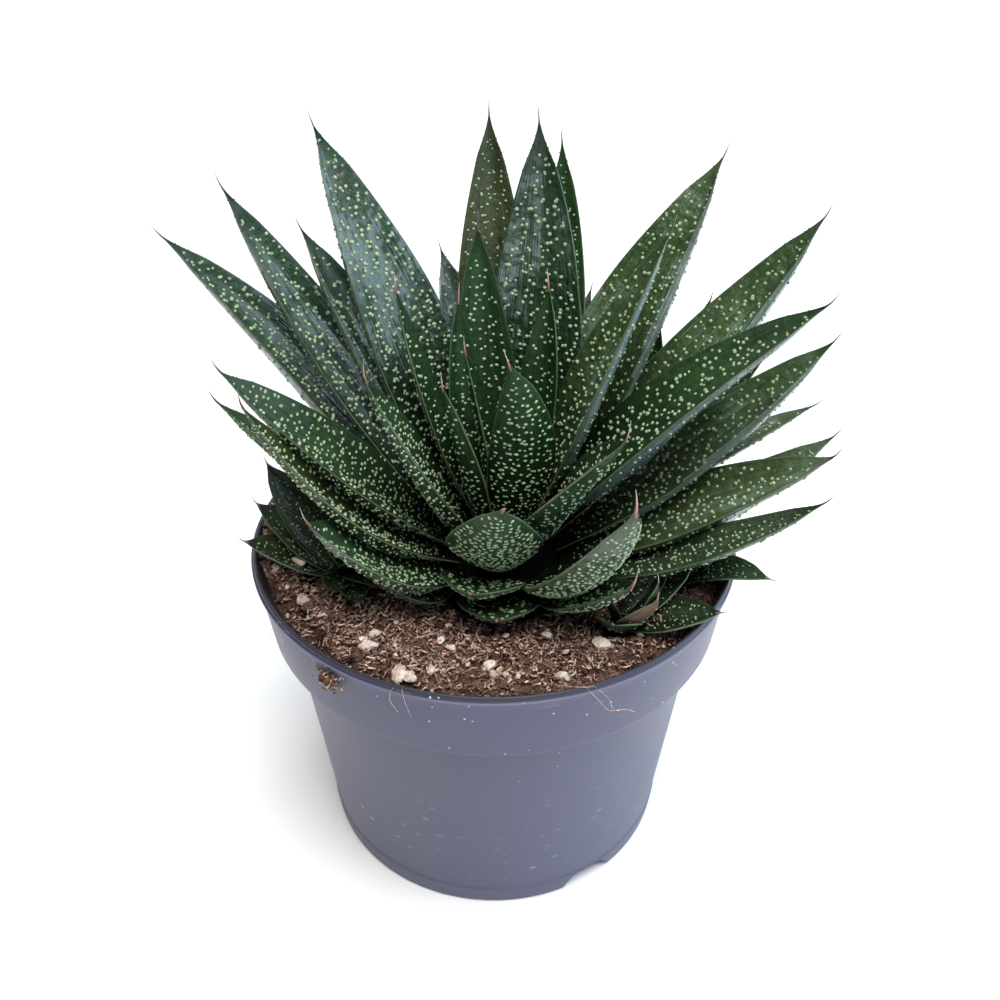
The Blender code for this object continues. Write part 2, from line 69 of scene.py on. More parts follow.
# Distance in metres below which the pot's points are merged; angle of a sharp edge in degrees.
WELD = 2e-5
SHARP_FROM = 34
GAP = 0.35
SOIL_EDGE_HEIGHT = 81.5
SOIL_HEIGHT = 83.8
SOIL_DIP_HEIGHT = 79.8
SOIL_LUMP = 1.3
CROWN_CENTRE = (2.0, -9.0)
CROWN_RADIUS = 15.5
CROWN_BASE = 70.0
CROWN_HEIGHT = 81.0

LEAVES = {
    "leaf_back_1": (93, 53, 179, 19, -1, 0, 0, 0.15),
    "leaf_back_2": (76, 34, 183, 23, -10, -4, 0, 0.20),
    "leaf_back_3": (75, 57, 172, 16, -8, -8, 0, 0.15),
    "leaf_back_4": (102, 26, 162, 15, -5, 0, 0, 0.20),
    "leaf_back_5": (107, 53, 146, 15, 5, -4, 0, 0.15),
    "leaf_back_6": (65, 56, 135, 13, 0, 0, 0, 0.15),
    "leaf_rear_1": (72, 68, 120, 15, 8, 0, 0, 0.12),
    "leaf_rear_2": (98, 72, 110, 16, 9, 0, 0, 0.12),
    "leaf_rear_3": (122, 68, 124, 15, 8, 0, 0, 0.12),
    "leaf_rear_4": (141, 62, 106, 17, 8, 0, 0, 0.12),
    "leaf_rear_5": (57, 56, 98, 15, 12, 0, 0, 0.12),
    "leaf_rear_6": (85, 60, 93, 16, 14, 0, 0, 0.12),
    "leaf_rear_7": (114, 60, 96, 16, 14, 0, 0, 0.12),
    "leaf_left_1": (163, 81, 160, 20, 3, -9, 0, 0.15),
    "leaf_left_2": (154, 71, 169, 19, -2, 0, 0, 0.15),
    "leaf_left_3": (148, 55, 160, 18, 0, 0, 0, 0.20),
    "leaf_left_4": (137, 59, 180, 24, 5, 0, 0, 0.15),
    "leaf_left_5": (-172, 61, 143, 18, 0, 0, -17, 0.15),
    "leaf_left_6": (174, 67, 127, 15, -6, 0, 10, 0.15),
    "leaf_left_7": (-161, 57, 141, 17, -19, 0, -6, 0.15),
    "leaf_right_1": (37, 65, 173, 24, 6, 0, 0, 0.15),
    "leaf_right_2": (13, 37, 167, 17, 4, 0, 0, 0.20),
    "leaf_right_3": (17, 76, 165, 21, -1, 0, 8, 0.15),
    "leaf_right_4": (-4, 69, 156, 20, 17, -5, 12, 0.15),
    "leaf_right_5": (5, 75, 142, 19, -4, 0, 12, 0.15),
    "leaf_right_6": (16, 82, 116, 11, 6, 0, 0, 0.15),
    "leaf_right_7": (4, 79, 118, 18, -14, 0, 4, 0.15),
    "leaf_right_8": (-8, 75, 122, 20, 1, 0, 12, 0.15),
    "leaf_right_9": (-21, 73, 121, 13, -12, 0, 10, 0.15),
    "leaf_front_1": (-90, 35, 126, 21, -9, -4, 0, 0.15),
    "leaf_front_2": (-44, 36, 136, 20, 2, -4, 22, 0.35),
    "leaf_front_3": (-56, 47, 129, 22, -28, 0, 0, 0.20),
    "leaf_front_4": (-50, 44, 105, 17, -20, 0, 0, 0.15),
    "leaf_front_5": (-103, 33, 100, 19, 4, 0, 0, 0.15),
    "leaf_front_6": (-93, 31, 91, 18, 0, 0, 0, 0.15),
    "leaf_front_7": (-150, 38, 100, 14, -26, 4, 0, 0.15),
    "leaf_front_8": (-148, 50, 117, 20, -16, 0, -12, 0.15),
    "leaf_front_9": (-156, 32, 144, 19, -4, 0, -20, 0.20),
    "leaf_young_1": (160, 25, 155, 9, -8, 0, 0, 0.30),
    "leaf_young_2": (118, 21, 148, 10, 0, 3, 0, 0.30),
    "leaf_young_3": (50, 16, 154, 12, 2, -6, 0, 0.30),
    "leaf_young_4": (165, 9, 143, 9, 2, -2, 0, 0.35),
    "leaf_young_5": (-153, 15, 139, 9, -2, 2, 0, 0.35),
    "leaf_young_6": (-86, 11, 146, 15, 2, 8, 0, 0.25),
}

# The two youngest leaves are still part of the crown's growing point.
HEART = {
    "heart_1": (-10, 4, 111, 4, 0, 0, 0, 0.35),
    "heart_2": (-70, 3, 118, 5, 0, 0, 0, 0.35),
}
# Their bristles: length and curl; how far their roots lie inside the crown.
HEART_AWN = (3.0, 0.1)
HEART_SINK = 3.0
OFFSET_RADIUS = 4.6
OFFSET_HEIGHT = 83.0
OFFSET_BASE = 75.0
OFFSETS = {
    "offset_left": ((-36, -12), (
        (139, 27, 105, 12, -6, 0, 0, 0.20), (162, 23, 100, 12, 0, 0, 0, 0.20),
        (-175, 24, 95, 13, 4, 0, 0, 0.20), (-96, 14, 88, 8, 10, 0, 0, 0.25),
        (-54, 17, 90, 7, 14, 0, 0, 0.25), (-74, 20, 89, 8, 12, 0, 0, 0.25))),
    "offset_right": ((45, -15), (
        (-21, 22, 89, 10, 36, 0, 0, 0.15), (-36, 12, 96, 9, 34, 0, 0, 0.20),
        (30, 11, 90, 8, 20, 0, 0, 0.20))),
    "offset_front": ((29, -31), (
        (-13, 23, 91, 12, 8, 0, 0, 0.15), (-47, 10, 97, 11, -10, 0, 0, 0.30),
        (-107, 11, 92, 11, 6, 0, 0, 0.20), (-20, 8, 99, 6, -20, 0, 0, 0.30),
        (27, 20, 94, 9, 6, 0, 0, 0.30))),
    "offset_back": ((38, 20), (
        (77, 14, 134, 10, 4, 0, 0, 0.25), (95, 20, 122, 9, 4, 0, 0, 0.25),
        (42, 24, 135, 9, 4, 0, 0, 0.25), (7, 31, 124, 12, 2, 0, 0, 0.20),
        (-20, 23, 127, 10, 2, 0, 0, 0.20))),
}
# An offset's bristles: length and curl; how far its leaves' roots lie inside its crown.
PUP_AWN = (2.6, 0.15)
PUP_SINK = 2.5
# Small inner leaves of the offsets, told like the others, and the leaves that have dried.
PUP_HEARTS = {
    "offset_left": ((170, 6, 94, 5, 8, 0, 0, 0.35), (-60, 6, 91, 5, 6, 0, 0, 0.35),
                    (40, 4, 92, 4, 0, 0, 0, 0.35)),
    "offset_right": ((-150, 3, 92, 4, 0, 0, 0, 0.35), (-60, 5, 91, 4, 4, 0, 0, 0.35)),
    "offset_front": ((-160, 4, 93, 4, 0, 0, 0, 0.35), (39, 15, 97, 6, -4, 0, 50, 0.30)),
    "offset_back": ((-110, 4, 96, 4, 0, 0, 0, 0.35), (140, 5, 98, 5, 0, 0, 0, 0.35)),
}
DRY_LEAVES = (("offset_front", 1),)

NECK = 0.30
NECK_ROOM = 0.75
LOWEST_ROOT = 0.16
SPREAD_TURNS = 600
WIDEST_AT = 0.40
TAPER = 1.7
EDGE = 0.55

# ------------------------------------------------------------------ finer detail of this model
# Material slots; SHADE takes the near-black crown skin, painted shade on the crowns' domes.
SKIN, STUD, MARGIN, AWN, UNDER, DRY, SHADE = 0, 1, 2, 3, 4, 5, 6

# Tubercles of a leaf side: row step, spacing in a row, radius, stretch across, height, jitter.
SPARSE = (1.9, 2.2, 0.42, 1.2, 0.30, 0.35)
STUDS = {
    "broad": {1: (1.58, 1.68, 0.50, 1.08, 0.44, 0.48), -1: SPARSE},
    "side": {1: (1.80, 1.90, 0.52, 1.05, 0.40, 0.42), -1: SPARSE},
    "fine": {1: (1.40, 1.55, 0.38, 1.05, 0.34, 0.45), -1: SPARSE},
    "dense": {1: (1.40, 1.60, 0.40, 1.35, 0.32, 0.36), -1: (1.3, 1.5, 0.34, 1.6, 0.28, 0.26)},
    "front": {1: (1.6, 1.75, 0.42, 1.5, 0.32, 0.33), -1: (1.1, 1.35, 0.33, 1.6, 0.30, 0.22)},
    "young": {1: (1.6, 1.75, 0.42, 1.2, 0.32, 0.30), -1: (1.3, 1.55, 0.38, 1.5, 0.30, 0.22)},
    "small": {1: (1.25, 1.4, 0.24, 1.3, 0.20, 0.40), -1: (1.7, 2.0, 0.26, 1.3, 0.20, 0.35)},
}
# Rows of tubercles down the steep flank beside the keel: number of rows, step along, radius.
FLANK_ROWS = {"broad": (1, 3.4, 0.34), "side": (1, 2.6, 0.36), "fine": (1, 2.6, 0.34),
              "front": (2, 2.2, 0.34), "dense": (3, 1.9, 0.34)}
# Row of larger tubercles beside the margin of a densely studded leaf: step along, radius.
EDGE_ROW = (2.3, 0.46)
# Bristle thickness at its root, and tooth length.
BRISTLES = {"broad": 0.20, "side": 0.20, "fine": 0.20, "dense": 0.28, "front": 0.50, "young": 0.28,
            "small": 0.24}
TEETH = {"broad": 0.34, "side": 0.36, "fine": 0.34, "dense": 0.50, "front": 0.50, "young": 0.40,
         "small": 0.28}
# Unevenness of the upper (1) and lower (-1) side: height, and pace along the leaf.
UNEVEN = {1: (0.16, 0.22), -1: (0.10, 0.25)}
# Points along a leaf, across its upper side and across its lower side.
DETAIL = {"leaf": (48, 17, 15), "young": (40, 13, 11), "pup": (34, 13, 11), "heart": (26, 9, 9)}
TOOTH_STEP = 1.7
TOOTH_WIDTH = 0.24
BASE_SHARE = 0.50
BASE_SWELL = 1.1
BRISTLE_BEYOND = 2.4
TAIL = 0.10
THINNEST = 0.16

# Kind of tubercles, upper and lower skin, bristle's length and curl, keel's place across: for each
# group of leaves, and for the leaves that differ from their group.
LOOKS = {
    "back": ("broad", "sheen", "painted_sheen_band", 3.0, 0.10, -0.84),
    "rear": ("side", "deep", "deep", 2.6, 0.10, 0.0),
    "left": ("broad", "sheen", "painted_sheen_band", 3.0, 0.10, 0.86),
    "right": ("side", "satin", "flank", 3.0, 0.15, -0.84),
    "front": ("front", "front", "frost", 4.0, 0.25, 0.0),
    "young": ("young", "young", "young", 4.0, 0.10, 0.0),
    "leaf_back_1": ("fine", "brown", "painted_sheen_band", 3.0, 0.1, -0.84),
    "leaf_back_3": ("fine", "deep", "painted_sheen_band", 3.0, 0.1, -0.78),
    "leaf_back_4": ("young", "deep", "deep", 3.5, 0.1, 0.0),
    "leaf_left_1": ("broad", "gloss", "painted_sheen_band", 3.0, 0.1, 0.86),
    "leaf_left_2": ("broad", "gloss", "painted_sheen_band", 3.0, 0.1, 0.86),
    "leaf_left_5": ("dense", "front", "brown", 3.0, 0.2, 0.88),
    "leaf_left_6": ("dense", "front", "brown", 3.0, 0.2, 0.88),
    "leaf_left_7": ("dense", "brown", "brown", 3.0, 0.2, 0.88),
    "leaf_right_2": ("side", "satin", "flank", 3.0, 0.1, -0.92),
    "leaf_right_3": ("side", "satin", "flank", 3.0, 0.15, -0.91),
    "leaf_right_4": ("side", "deep", "painted_sheen_band", 3.0, 0.3, -0.92),
    "leaf_right_8": ("side", "olive", "olive", 3.0, 0.4, -0.80),
    "leaf_right_9": ("fine", "frost", "frost", 3.0, 0.1, -0.80),
    "leaf_front_1": ("front", "front", "front", 3.0, -0.2, 0.0),
    "leaf_front_2": ("dense", "front", "front", 4.0, 0.3, 0.0),
    "leaf_front_7": ("dense", "front", "frost", 3.0, 0.2, 0.0),
    "leaf_front_8": ("dense", "front", "frost", 4.0, 0.2, 0.80),
    "leaf_front_9": ("dense", "front", "front", 4.0, 0.2, 0.88),
}
# Leaves whose upper side has a pale strip of painted sheen beside the near margin.
PAINTED_SHEEN_LEAVES = ("leaf_right_1", "leaf_right_3", "leaf_right_5")


def placed(name, data):
    """A new object in the scene that shows a mesh, a light or a camera."""
    made = bpy.data.objects.new(name, data)
    bpy.context.scene.collection.objects.link(made)
    return made


def declare(made, node):
    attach(made, "root")
    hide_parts(node)


def circle(count):
    """Angles of evenly spaced points round a ring."""
    return np.linspace(0, math.tau, count, endpoint=False)


def unit(rows):
    return rows / np.linalg.norm(rows, axis=-1, keepdims=True)


def smooth_step(low, high, value):
    share = np.clip((value - low) / (high - low), 0.0, 1.0)
    return share * share * (3 - 2 * share)


class Piece:
    """Gathers the points, faces, map coordinates and material numbers of one mesh."""

    def __init__(self):
        self.points, self.places, self.corners = [], [], []
        self.sizes, self.slots, self.count = [], [], 0

    def add(self, points, faces, slot, places):
        """faces is one array of triangles or quads; places has a (u, v) per point or corner."""
        faces = np.asarray(faces, dtype=np.int64)
        points = np.asarray(points, dtype=float)
        places = np.asarray(places, dtype=float)
        if places.ndim == 2:
            places = places[faces]
        self.points.append(points)
        self.places.append(places.reshape(-1, 2))
        self.corners.append((faces + self.count).ravel())
        self.sizes.append(np.full(len(faces), faces.shape[1]))
        self.slots.append(np.full(len(faces), slot) if np.isscalar(slot) else np.asarray(slot))
        self.count += len(points)

    def build(self, name, materials):
        points = np.concatenate(self.points) * MM
        corners = np.concatenate(self.corners)
        sizes = np.concatenate(self.sizes)
        mesh = bpy.data.meshes.new(name)
        mesh.vertices.add(len(points))
        mesh.vertices.foreach_set("co", points.ravel())
        mesh.loops.add(len(corners))
        mesh.loops.foreach_set("vertex_index", corners)
        mesh.polygons.add(len(sizes))
        mesh.polygons.foreach_set("loop_start", np.concatenate(([0], np.cumsum(sizes)[:-1])))
        mesh.polygons.foreach_set("material_index", np.concatenate(self.slots))
        mesh.polygons.foreach_set("use_smooth", np.ones(len(sizes), dtype=bool))
        layer = mesh.uv_layers.new(name="leaf")
        layer.data.foreach_set("uv", np.concatenate(self.places).ravel())
        mesh.update(calc_edges=True)
        mesh.validate()
        for material in materials:
            mesh.materials.append(material)
        return placed(name, mesh)


def grid_faces(rows, columns, closed):
    """Quads between the rows of a grid of points; closed joins the last column to the first."""
    row = np.arange(rows - 1)[:, None] * columns
    column = np.arange(columns if closed else columns - 1)[None, :]
    after = (column + 1) % columns
    quads = np.stack([row + column, row + after, row + columns + after, row + columns + column], axis=-1)
    return quads.reshape(-1, 4)


def add_cap(piece, ring, middle, slot, places, turned):
    """Close a ring of points with a fan of triangles round a middle point."""
    count = len(ring)
    step = np.arange(count)
    fan = np.stack([step, (step + 1) % count, np.full(count, count)], axis=-1)
    if np.ndim(places) == 1:
        places = np.tile(places, (count + 1, 1))
    piece.add(np.concatenate([ring, [middle]]), fan[:, [1, 0, 2]] if turned else fan, slot, places)


def add_copies(piece, points, faces, slot, places):
    """Add many small bodies, a row of points for each, that share one list of triangles."""
    shift = (np.arange(len(points)) * points.shape[1])[:, None, None]
    piece.add(points.reshape(-1, 3), (np.asarray(faces)[None] + shift).reshape(-1, 3), slot, places)


def wobble(x, y, phases):
    """A smooth, seeded unevenness between about -1 and 1, from four crossing waves."""
    total = 0.0
    for turn, (a, b, c) in enumerate(phases):
        total = total + np.sin(a * x + b * y + c) / (1 + 0.35 * turn)
    return total / 2.6


def wobble_phases(draw, scale):
    return [(draw.normal(0, scale * (1 + 0.6 * k)), draw.normal(0, scale * (1 + 0.6 * k)),
             draw.uniform(0, math.tau)) for k in range(4)]


# ------------------------------------------------------------------ materials
# Sockets of a Mix node that mixes colours.
MIX_SHARE, MIX_FIRST, MIX_SECOND, MIX_RESULT = 0, 6, 7, 2
# A coat above this weight is a wax that thins out towards the leaf's root and in patches.
THIN_COAT = 0.3


class Skin:
    """A Principled material whose nodes are added and linked by short calls."""

    def __init__(self, name):
        self.made = bpy.data.materials.new(name)
        self.made.use_nodes = True
        self.tree = self.made.node_tree
        self.shader = self.tree.nodes["Principled BSDF"]
        self.place = self.node("TexCoord").outputs["Object"]

    @cached_property
    def flat(self):
        """The piece's own map."""
        return self.node("UVMap", uv_map="leaf").outputs["UV"]

    @cached_property
    def axes(self):
        return self.node("SeparateXYZ", Vector=self.flat).outputs

    @property
    def u(self):
        return self.axes["X"]

    @property
    def v(self):
        return self.axes["Y"]

    def plug(self, socket, value):
        """Link a socket, or give it a plain number or colour."""
        if isinstance(value, bpy.types.NodeSocket):
            self.tree.links.new(value, socket)
        else:
            socket.default_value = value

    def node(self, kind, **values):
        """Add a node; the values are its own settings, or its inputs with _ for a space."""
        item = self.tree.nodes.new("ShaderNode" + kind)
        for key, value in values.items():
            if hasattr(item, key):
                setattr(item, key, value)
            else:
                self.plug(item.inputs[key.replace("_", " ")], value)
        return item

    def set(self, **values):
        for key, value in values.items():
            self.plug(self.shader.inputs[key.replace("_", " ")], value)

    def noise(self, scale, detail, where=None, **values):
        where = self.place if where is None else where
        return self.node("TexNoise", Vector=where, Scale=scale, Detail=detail, **values).outputs["Fac"]

    def cells(self, scale, where=None, **values):
        where = self.place if where is None else where
        return self.node("TexVoronoi", Vector=where, Scale=scale, **values).outputs["Distance"]

    def stretched(self, scale, **values):
        """The map's coordinates, scaled by different amounts across and along."""
        return self.node("Mapping", Vector=self.flat, Scale=(*scale, 1.0), **values).outputs["Vector"]

    def ramp(self, source, *stops):
        """Colour ramp through stops, each a position with a colour or a grey level."""
        item = self.node("ValToRGB", Fac=source)
        elements = item.color_ramp.elements
        while len(elements) < len(stops):
            elements.new(0.5)
        for element, (position, colour) in zip(elements, stops):
            element.position = position
            element.color = (*colour, 1.0) if isinstance(colour, tuple) else (colour, colour, colour, 1.0)
        return item.outputs["Color"]

    def mix(self, share, first, second, blend="MIX"):
        """Mix two colours; each may be a socket or a plain colour."""
        item = self.node("Mix", data_type="RGBA", blend_type=blend)
        for index, value in ((MIX_SHARE, share), (MIX_FIRST, first), (MIX_SECOND, second)):
            self.plug(item.inputs[index], (*value, 1.0) if isinstance(value, tuple) else value)
        return item.outputs[MIX_RESULT]

    def times(self, first, second):
        return self.mix(1.0, first, second, "MULTIPLY")

    def plus(self, first, second):
        return self.mix(1.0, first, second, "ADD")

    def bump(self, height, strength, distance, socket="Normal"):
        made = self.node("Bump", Height=height, Strength=strength, Distance=distance)
        self.tree.links.new(made.outputs["Normal"], self.shader.inputs[socket])

    def grained(self, colour, fine, shade, rough, strength, distance):
        """Finish with one fine pattern in the colour, the roughness and the relief."""
        self.set(Base_Color=self.times(colour, self.ramp(fine, *shade)), Roughness=self.ramp(fine, *rough))
        self.bump(fine, strength, distance)
        return self.made


def leaf_skin(name, dark, light, smooth, rough, coat, shine=0.3, relief=0.0010, coat_index=1.5, painted_streak_sheen=0.0):
    """Waxy leaf skin: mottled green, lengthwise streaks, gloss that comes and goes, painted shade at the
    root, painted sheen streaks.
    """
    skin = Skin(name)
    streaks = skin.noise(2.2, 3.0, skin.stretched((9.0, 1.1)))
    blotch = skin.noise(75.0, 3.0)
    colour = skin.times(skin.ramp(blotch, (0.32, dark), (0.72, light)),
                        skin.ramp(streaks, (0.30, 0.70), (0.70, 1.25)))
    colour = skin.plus(colour, skin.ramp(skin.v, (0.0, (0.03, 0.035, 0.015)), (0.10, 0.0), (0.975, 0.0),
                                         (1.0, (0.030, 0.020, 0.016))))
    # Painted sheen: pale blue-grey lengthwise streaks added to the colour in the leaf's middle.
    if painted_streak_sheen:
        sheen_streak_mask = skin.noise(1.5, 4.0, skin.stretched((12.0, 1.0), Location=(3.7, 0.4, 0)), Roughness=0.65)
        sheen_streak_mask = skin.ramp(skin.mix(0.5, sheen_streak_mask, blotch), (0.54, 0.0), (0.59, (0.65 * painted_streak_sheen, painted_streak_sheen, painted_streak_sheen)))
        colour = skin.plus(colour, skin.times(sheen_streak_mask, skin.ramp(skin.v, (0.35, 0.0), (0.58, 1.0), (0.96, 0.5))))
    # Painted shade: the colour darkens towards the leaf's root, deep in the rosette.
    depth = skin.ramp(skin.v, (0.06, 0.12), (0.34, 0.55), (0.62, 1.0))
    gloss = skin.ramp(skin.mix(0.55, blotch, streaks), (0.38, smooth), (0.66, rough))
    fine = skin.mix(0.60, streaks, skin.noise(430.0, 2.0))
    skin.bump(skin.mix(0.08, fine, skin.noise(1400.0, 2.0)), 0.8, relief)
    if coat > THIN_COAT:
        skin.bump(skin.mix(0.65, streaks, skin.noise(330.0, 1.0)), 0.6, 0.0009, "Coat Normal")
        reach = skin.ramp(skin.v, (0.20, 0.04), (0.44, 0.8 * coat), (0.62, coat), (0.86, coat),
                          (0.99, 0.35 * coat))
        coat = skin.times(reach, skin.ramp(blotch, (0.37, 0.22), (0.50, 1.0)))
    skin.set(Base_Color=skin.times(colour, depth), Roughness=gloss, Specular_IOR_Level=shine,
             Coat_Weight=coat, Coat_Roughness=0.14, Coat_IOR=coat_index)
    return skin.made


def stud_skin(name, foot, crest):
    """Pale tubercle: green at its foot, creamy on top; the map's u is the height on it."""
    skin = Skin(name)
    rise = skin.ramp(skin.u, (0.10, foot), (0.55, crest), (1.0, crest))
    tint = skin.ramp(skin.v, (0.0, (0.62, 0.74, 0.60)), (0.6, 1.0), (1.0, (1.15, 1.08, 0.95)))
    return skin.grained(skin.times(rise, tint), skin.noise(2200.0, 2.0), ((0.3, 0.85), (0.7, 1.08)),
                        ((0.3, 0.34), (0.7, 0.52)), 0.25, 0.0002)


def margin_skin():
    """Horny leaf margin and its teeth: green with cream stretches."""
    skin = Skin("leaf_margin")
    colour = skin.ramp(skin.noise(55.0, 2.0), (0.30, (0.035, 0.070, 0.028)), (0.55, (0.085, 0.130, 0.065)),
                       (0.78, (0.15, 0.14, 0.10)))
    return skin.grained(colour, skin.noise(900.0, 2.0), ((0.3, 0.7), (0.7, 1.15)),
                        ((0.3, 0.40), (0.7, 0.60)), 0.3, 0.0002)


def awn_skin(name, root, middle, end):
    """Dry bristle at a leaf's tip; the map's v runs from its root to its end."""
    skin = Skin(name)
    return skin.grained(skin.ramp(skin.v, (0.0, root), (0.45, middle), (1.0, end)), skin.noise(1600.0, 2.0),
                        ((0.3, 0.8), (0.7, 1.15)), ((0.3, 0.40), (0.7, 0.62)), 0.3, 0.0002)


def pot_skin():
    """Moulded blue-grey plastic with fine grain, dried splashes, rows of pale water marks, and painted light
    and shade at the lip.
    """
    skin = Skin("pot_plastic")
    cloud = skin.noise(22.0, 4.0)
    base = skin.ramp(cloud, (0.30, (0.060, 0.061, 0.109)), (0.70, (0.076, 0.078, 0.134)))
    # Painted highlight as a light line on the lip's ridge, painted shade in the groove above it and on the
    # lip's top, then deeper painted shade on the inner wall.
    painted_lip_light_and_shade = skin.node("MapRange", Value=skin.v, From_Min=0.975, From_Max=1.05).outputs["Result"]
    base = skin.times(base, skin.ramp(painted_lip_light_and_shade, (0.087, 1.0), (0.107, 1.7), (0.14, 1.7), (0.163, 0.42),
                                      (0.31, 0.30), (0.35, 0.34), (0.50, 0.10)))
    where = skin.noise(60.0, 3.0)
    dots = skin.ramp(skin.cells(400.0, Randomness=1.0), (0.075, 1.0), (0.110, 0.0))
    shower = skin.ramp(skin.u, (0.71, 0.0), (0.745, 0.13), (0.80, 0.13), (0.84, 0.0))
    dots = skin.times(dots, skin.ramp(skin.plus(where, shower), (0.50, 0.0), (0.58, 1.0)))
    dots = skin.times(dots, skin.ramp(skin.v, (0.55, 0.0), (0.80, 1.0)))
    rows = skin.cells(1.0, skin.stretched((64.0, 46.0), Rotation=(0, 0, 0.16)), Randomness=0.55)
    dash = skin.times(skin.ramp(rows, (0.08, 1.0), (0.26, 0.0)),
                      skin.ramp(skin.v, (0.10, 0.0), (0.20, 0.45), (0.36, 0.45), (0.52, 0.0)))
    dash = skin.times(dash, skin.ramp(where, (0.48, 0.0), (0.62, 1.0)))
    scratch = skin.noise(1.6, 1.0, skin.stretched((16.0, 120.0), Rotation=(0, 0, 0.5)))
    marks = skin.plus(dots, skin.plus(dash, skin.ramp(scratch, (0.765, 0.0), (0.785, 0.20))))
    skin.set(Base_Color=skin.mix(marks, base, (0.62, 0.64, 0.70)),
             Roughness=skin.ramp(cloud, (0.3, 0.36), (0.7, 0.50)), Specular_IOR_Level=0.45)
    skin.bump(skin.mix(0.6, skin.noise(2600.0, 3.0), marks), 0.18, 0.0003)
    return skin.made


def peat_skin(name, tones, grain_scale=900.0, by_piece=False):
    """Dry fibrous peat, from dark to pale; by_piece takes the tone from the map's u instead."""
    skin = Skin(name)
    source = skin.u if by_piece else skin.noise(140.0, 5.0, Roughness=0.65)
    stops = zip((0.0, 0.40, 0.80, 1.0) if by_piece else (0.30, 0.50, 0.72), tones)
    skin.set(Specular_IOR_Level=0.2)
    fine = skin.noise(grain_scale, 4.0, Roughness=0.6, Distortion=1.8)
    return skin.grained(skin.ramp(source, *stops), fine, ((0.38, 0.40), (0.50, 1.0), (0.62, 1.6)),
                        ((0.3, 0.98), (0.7, 0.80)), 1.0, 0.0008)


def chip_skin():
    """Cream perlite: rough, pitted and a little stained by the peat."""
    skin = Skin("perlite")
    wide, pits = skin.noise(260.0, 4.0), skin.cells(1300.0)
    colour = skin.ramp(wide, (0.30, (0.38, 0.26, 0.195)), (0.46, (0.64, 0.53, 0.45)),
                       (0.70, (0.80, 0.72, 0.64)))
    skin.set(Base_Color=skin.times(colour, skin.ramp(pits, (0.05, 0.72), (0.4, 1.0))),
             Roughness=skin.ramp(wide, (0.3, 0.92), (0.7, 0.74)))
    skin.bump(pits, 0.7, 0.0005)
    return skin.made


def floor_skin():
    """Pale matt tabletop with a faint grain."""
    skin = Skin("floor_pale")
    cloud = skin.noise(3.0, 3.0)
    skin.set(Base_Color=skin.ramp(cloud, (0.3, 0.93), (0.7, 0.96)),
             Roughness=skin.ramp(cloud, (0.3, 0.75), (0.7, 0.85)), Specular_IOR_Level=0.2)
    skin.bump(skin.noise(900.0, 2.0), 0.05, 0.0005)
    return skin.made


# ------------------------------------------------------------------ leaves
def leaf_frame(azimuth):
    angle = math.radians(azimuth)
    outward = np.array((math.cos(angle), math.sin(angle), 0.0))
    sideways = np.array((-math.sin(angle), math.cos(angle), 0.0))
    return outward, sideways


def leaf_tip(spec, centre):
    outward, _ = leaf_frame(spec[0])
    return np.array((centre[0], centre[1], spec[2])) + outward * spec[1]


def home_root(spec, centre, height):
    """Direction from the crown's centre in which a leaf would leave by itself."""
    outward, _ = leaf_frame(spec[0])
    aim = unit(leaf_tip(spec, centre) - np.array((centre[0], centre[1], height)))
    rise = math.asin(aim[2]) + math.radians(spec[4]) * 0.6
    return outward * math.cos(rise) + np.array((0.0, 0.0, math.sin(rise)))


def leaf_thickness(spec):
    return 0.15 * spec[3] + 0.7


def spread_roots(specs, centre, height, radius):
    """Push the necks of the leaves apart on the crown, as the frame does."""
    home = np.array([home_root(spec, centre, height) for spec in specs])
    sideways = np.array([leaf_frame(spec[0])[1] for spec in specs])
    ball = np.array([NECK_ROOM * leaf_thickness(spec) / 2 for spec in specs])
    spacing = np.array([NECK * spec[3] / 2 for spec in specs]) - ball
    room = ball[:, None] + ball[None, :] + GAP
    roots = home.copy()
    reach = radius + 2 * GAP
    for turn in range(SPREAD_TURNS):
        push = np.zeros_like(roots)
        for first in (-1, 0, 1):
            for second in (-1, 0, 1):
                start = roots * reach + sideways * (first * spacing)[:, None]
                other = roots * reach + sideways * (second * spacing)[:, None]
                between = start[:, None] - other[None, :]
                distance = np.linalg.norm(between, axis=2)
                np.fill_diagonal(distance, 100.0)
                short = np.maximum(room - distance, 0.0)
                push += (between * (short / np.maximum(distance, 0.01))[:, :, None]).sum(axis=1)
        pull = 0.01 * (1 - turn / SPREAD_TURNS)
        roots = roots + push / reach * 0.12 + (home - roots) * pull
        roots[:, 2] = np.maximum(roots[:, 2], LOWEST_ROOT)
        roots /= np.linalg.norm(roots, axis=1)[:, None]
    return roots


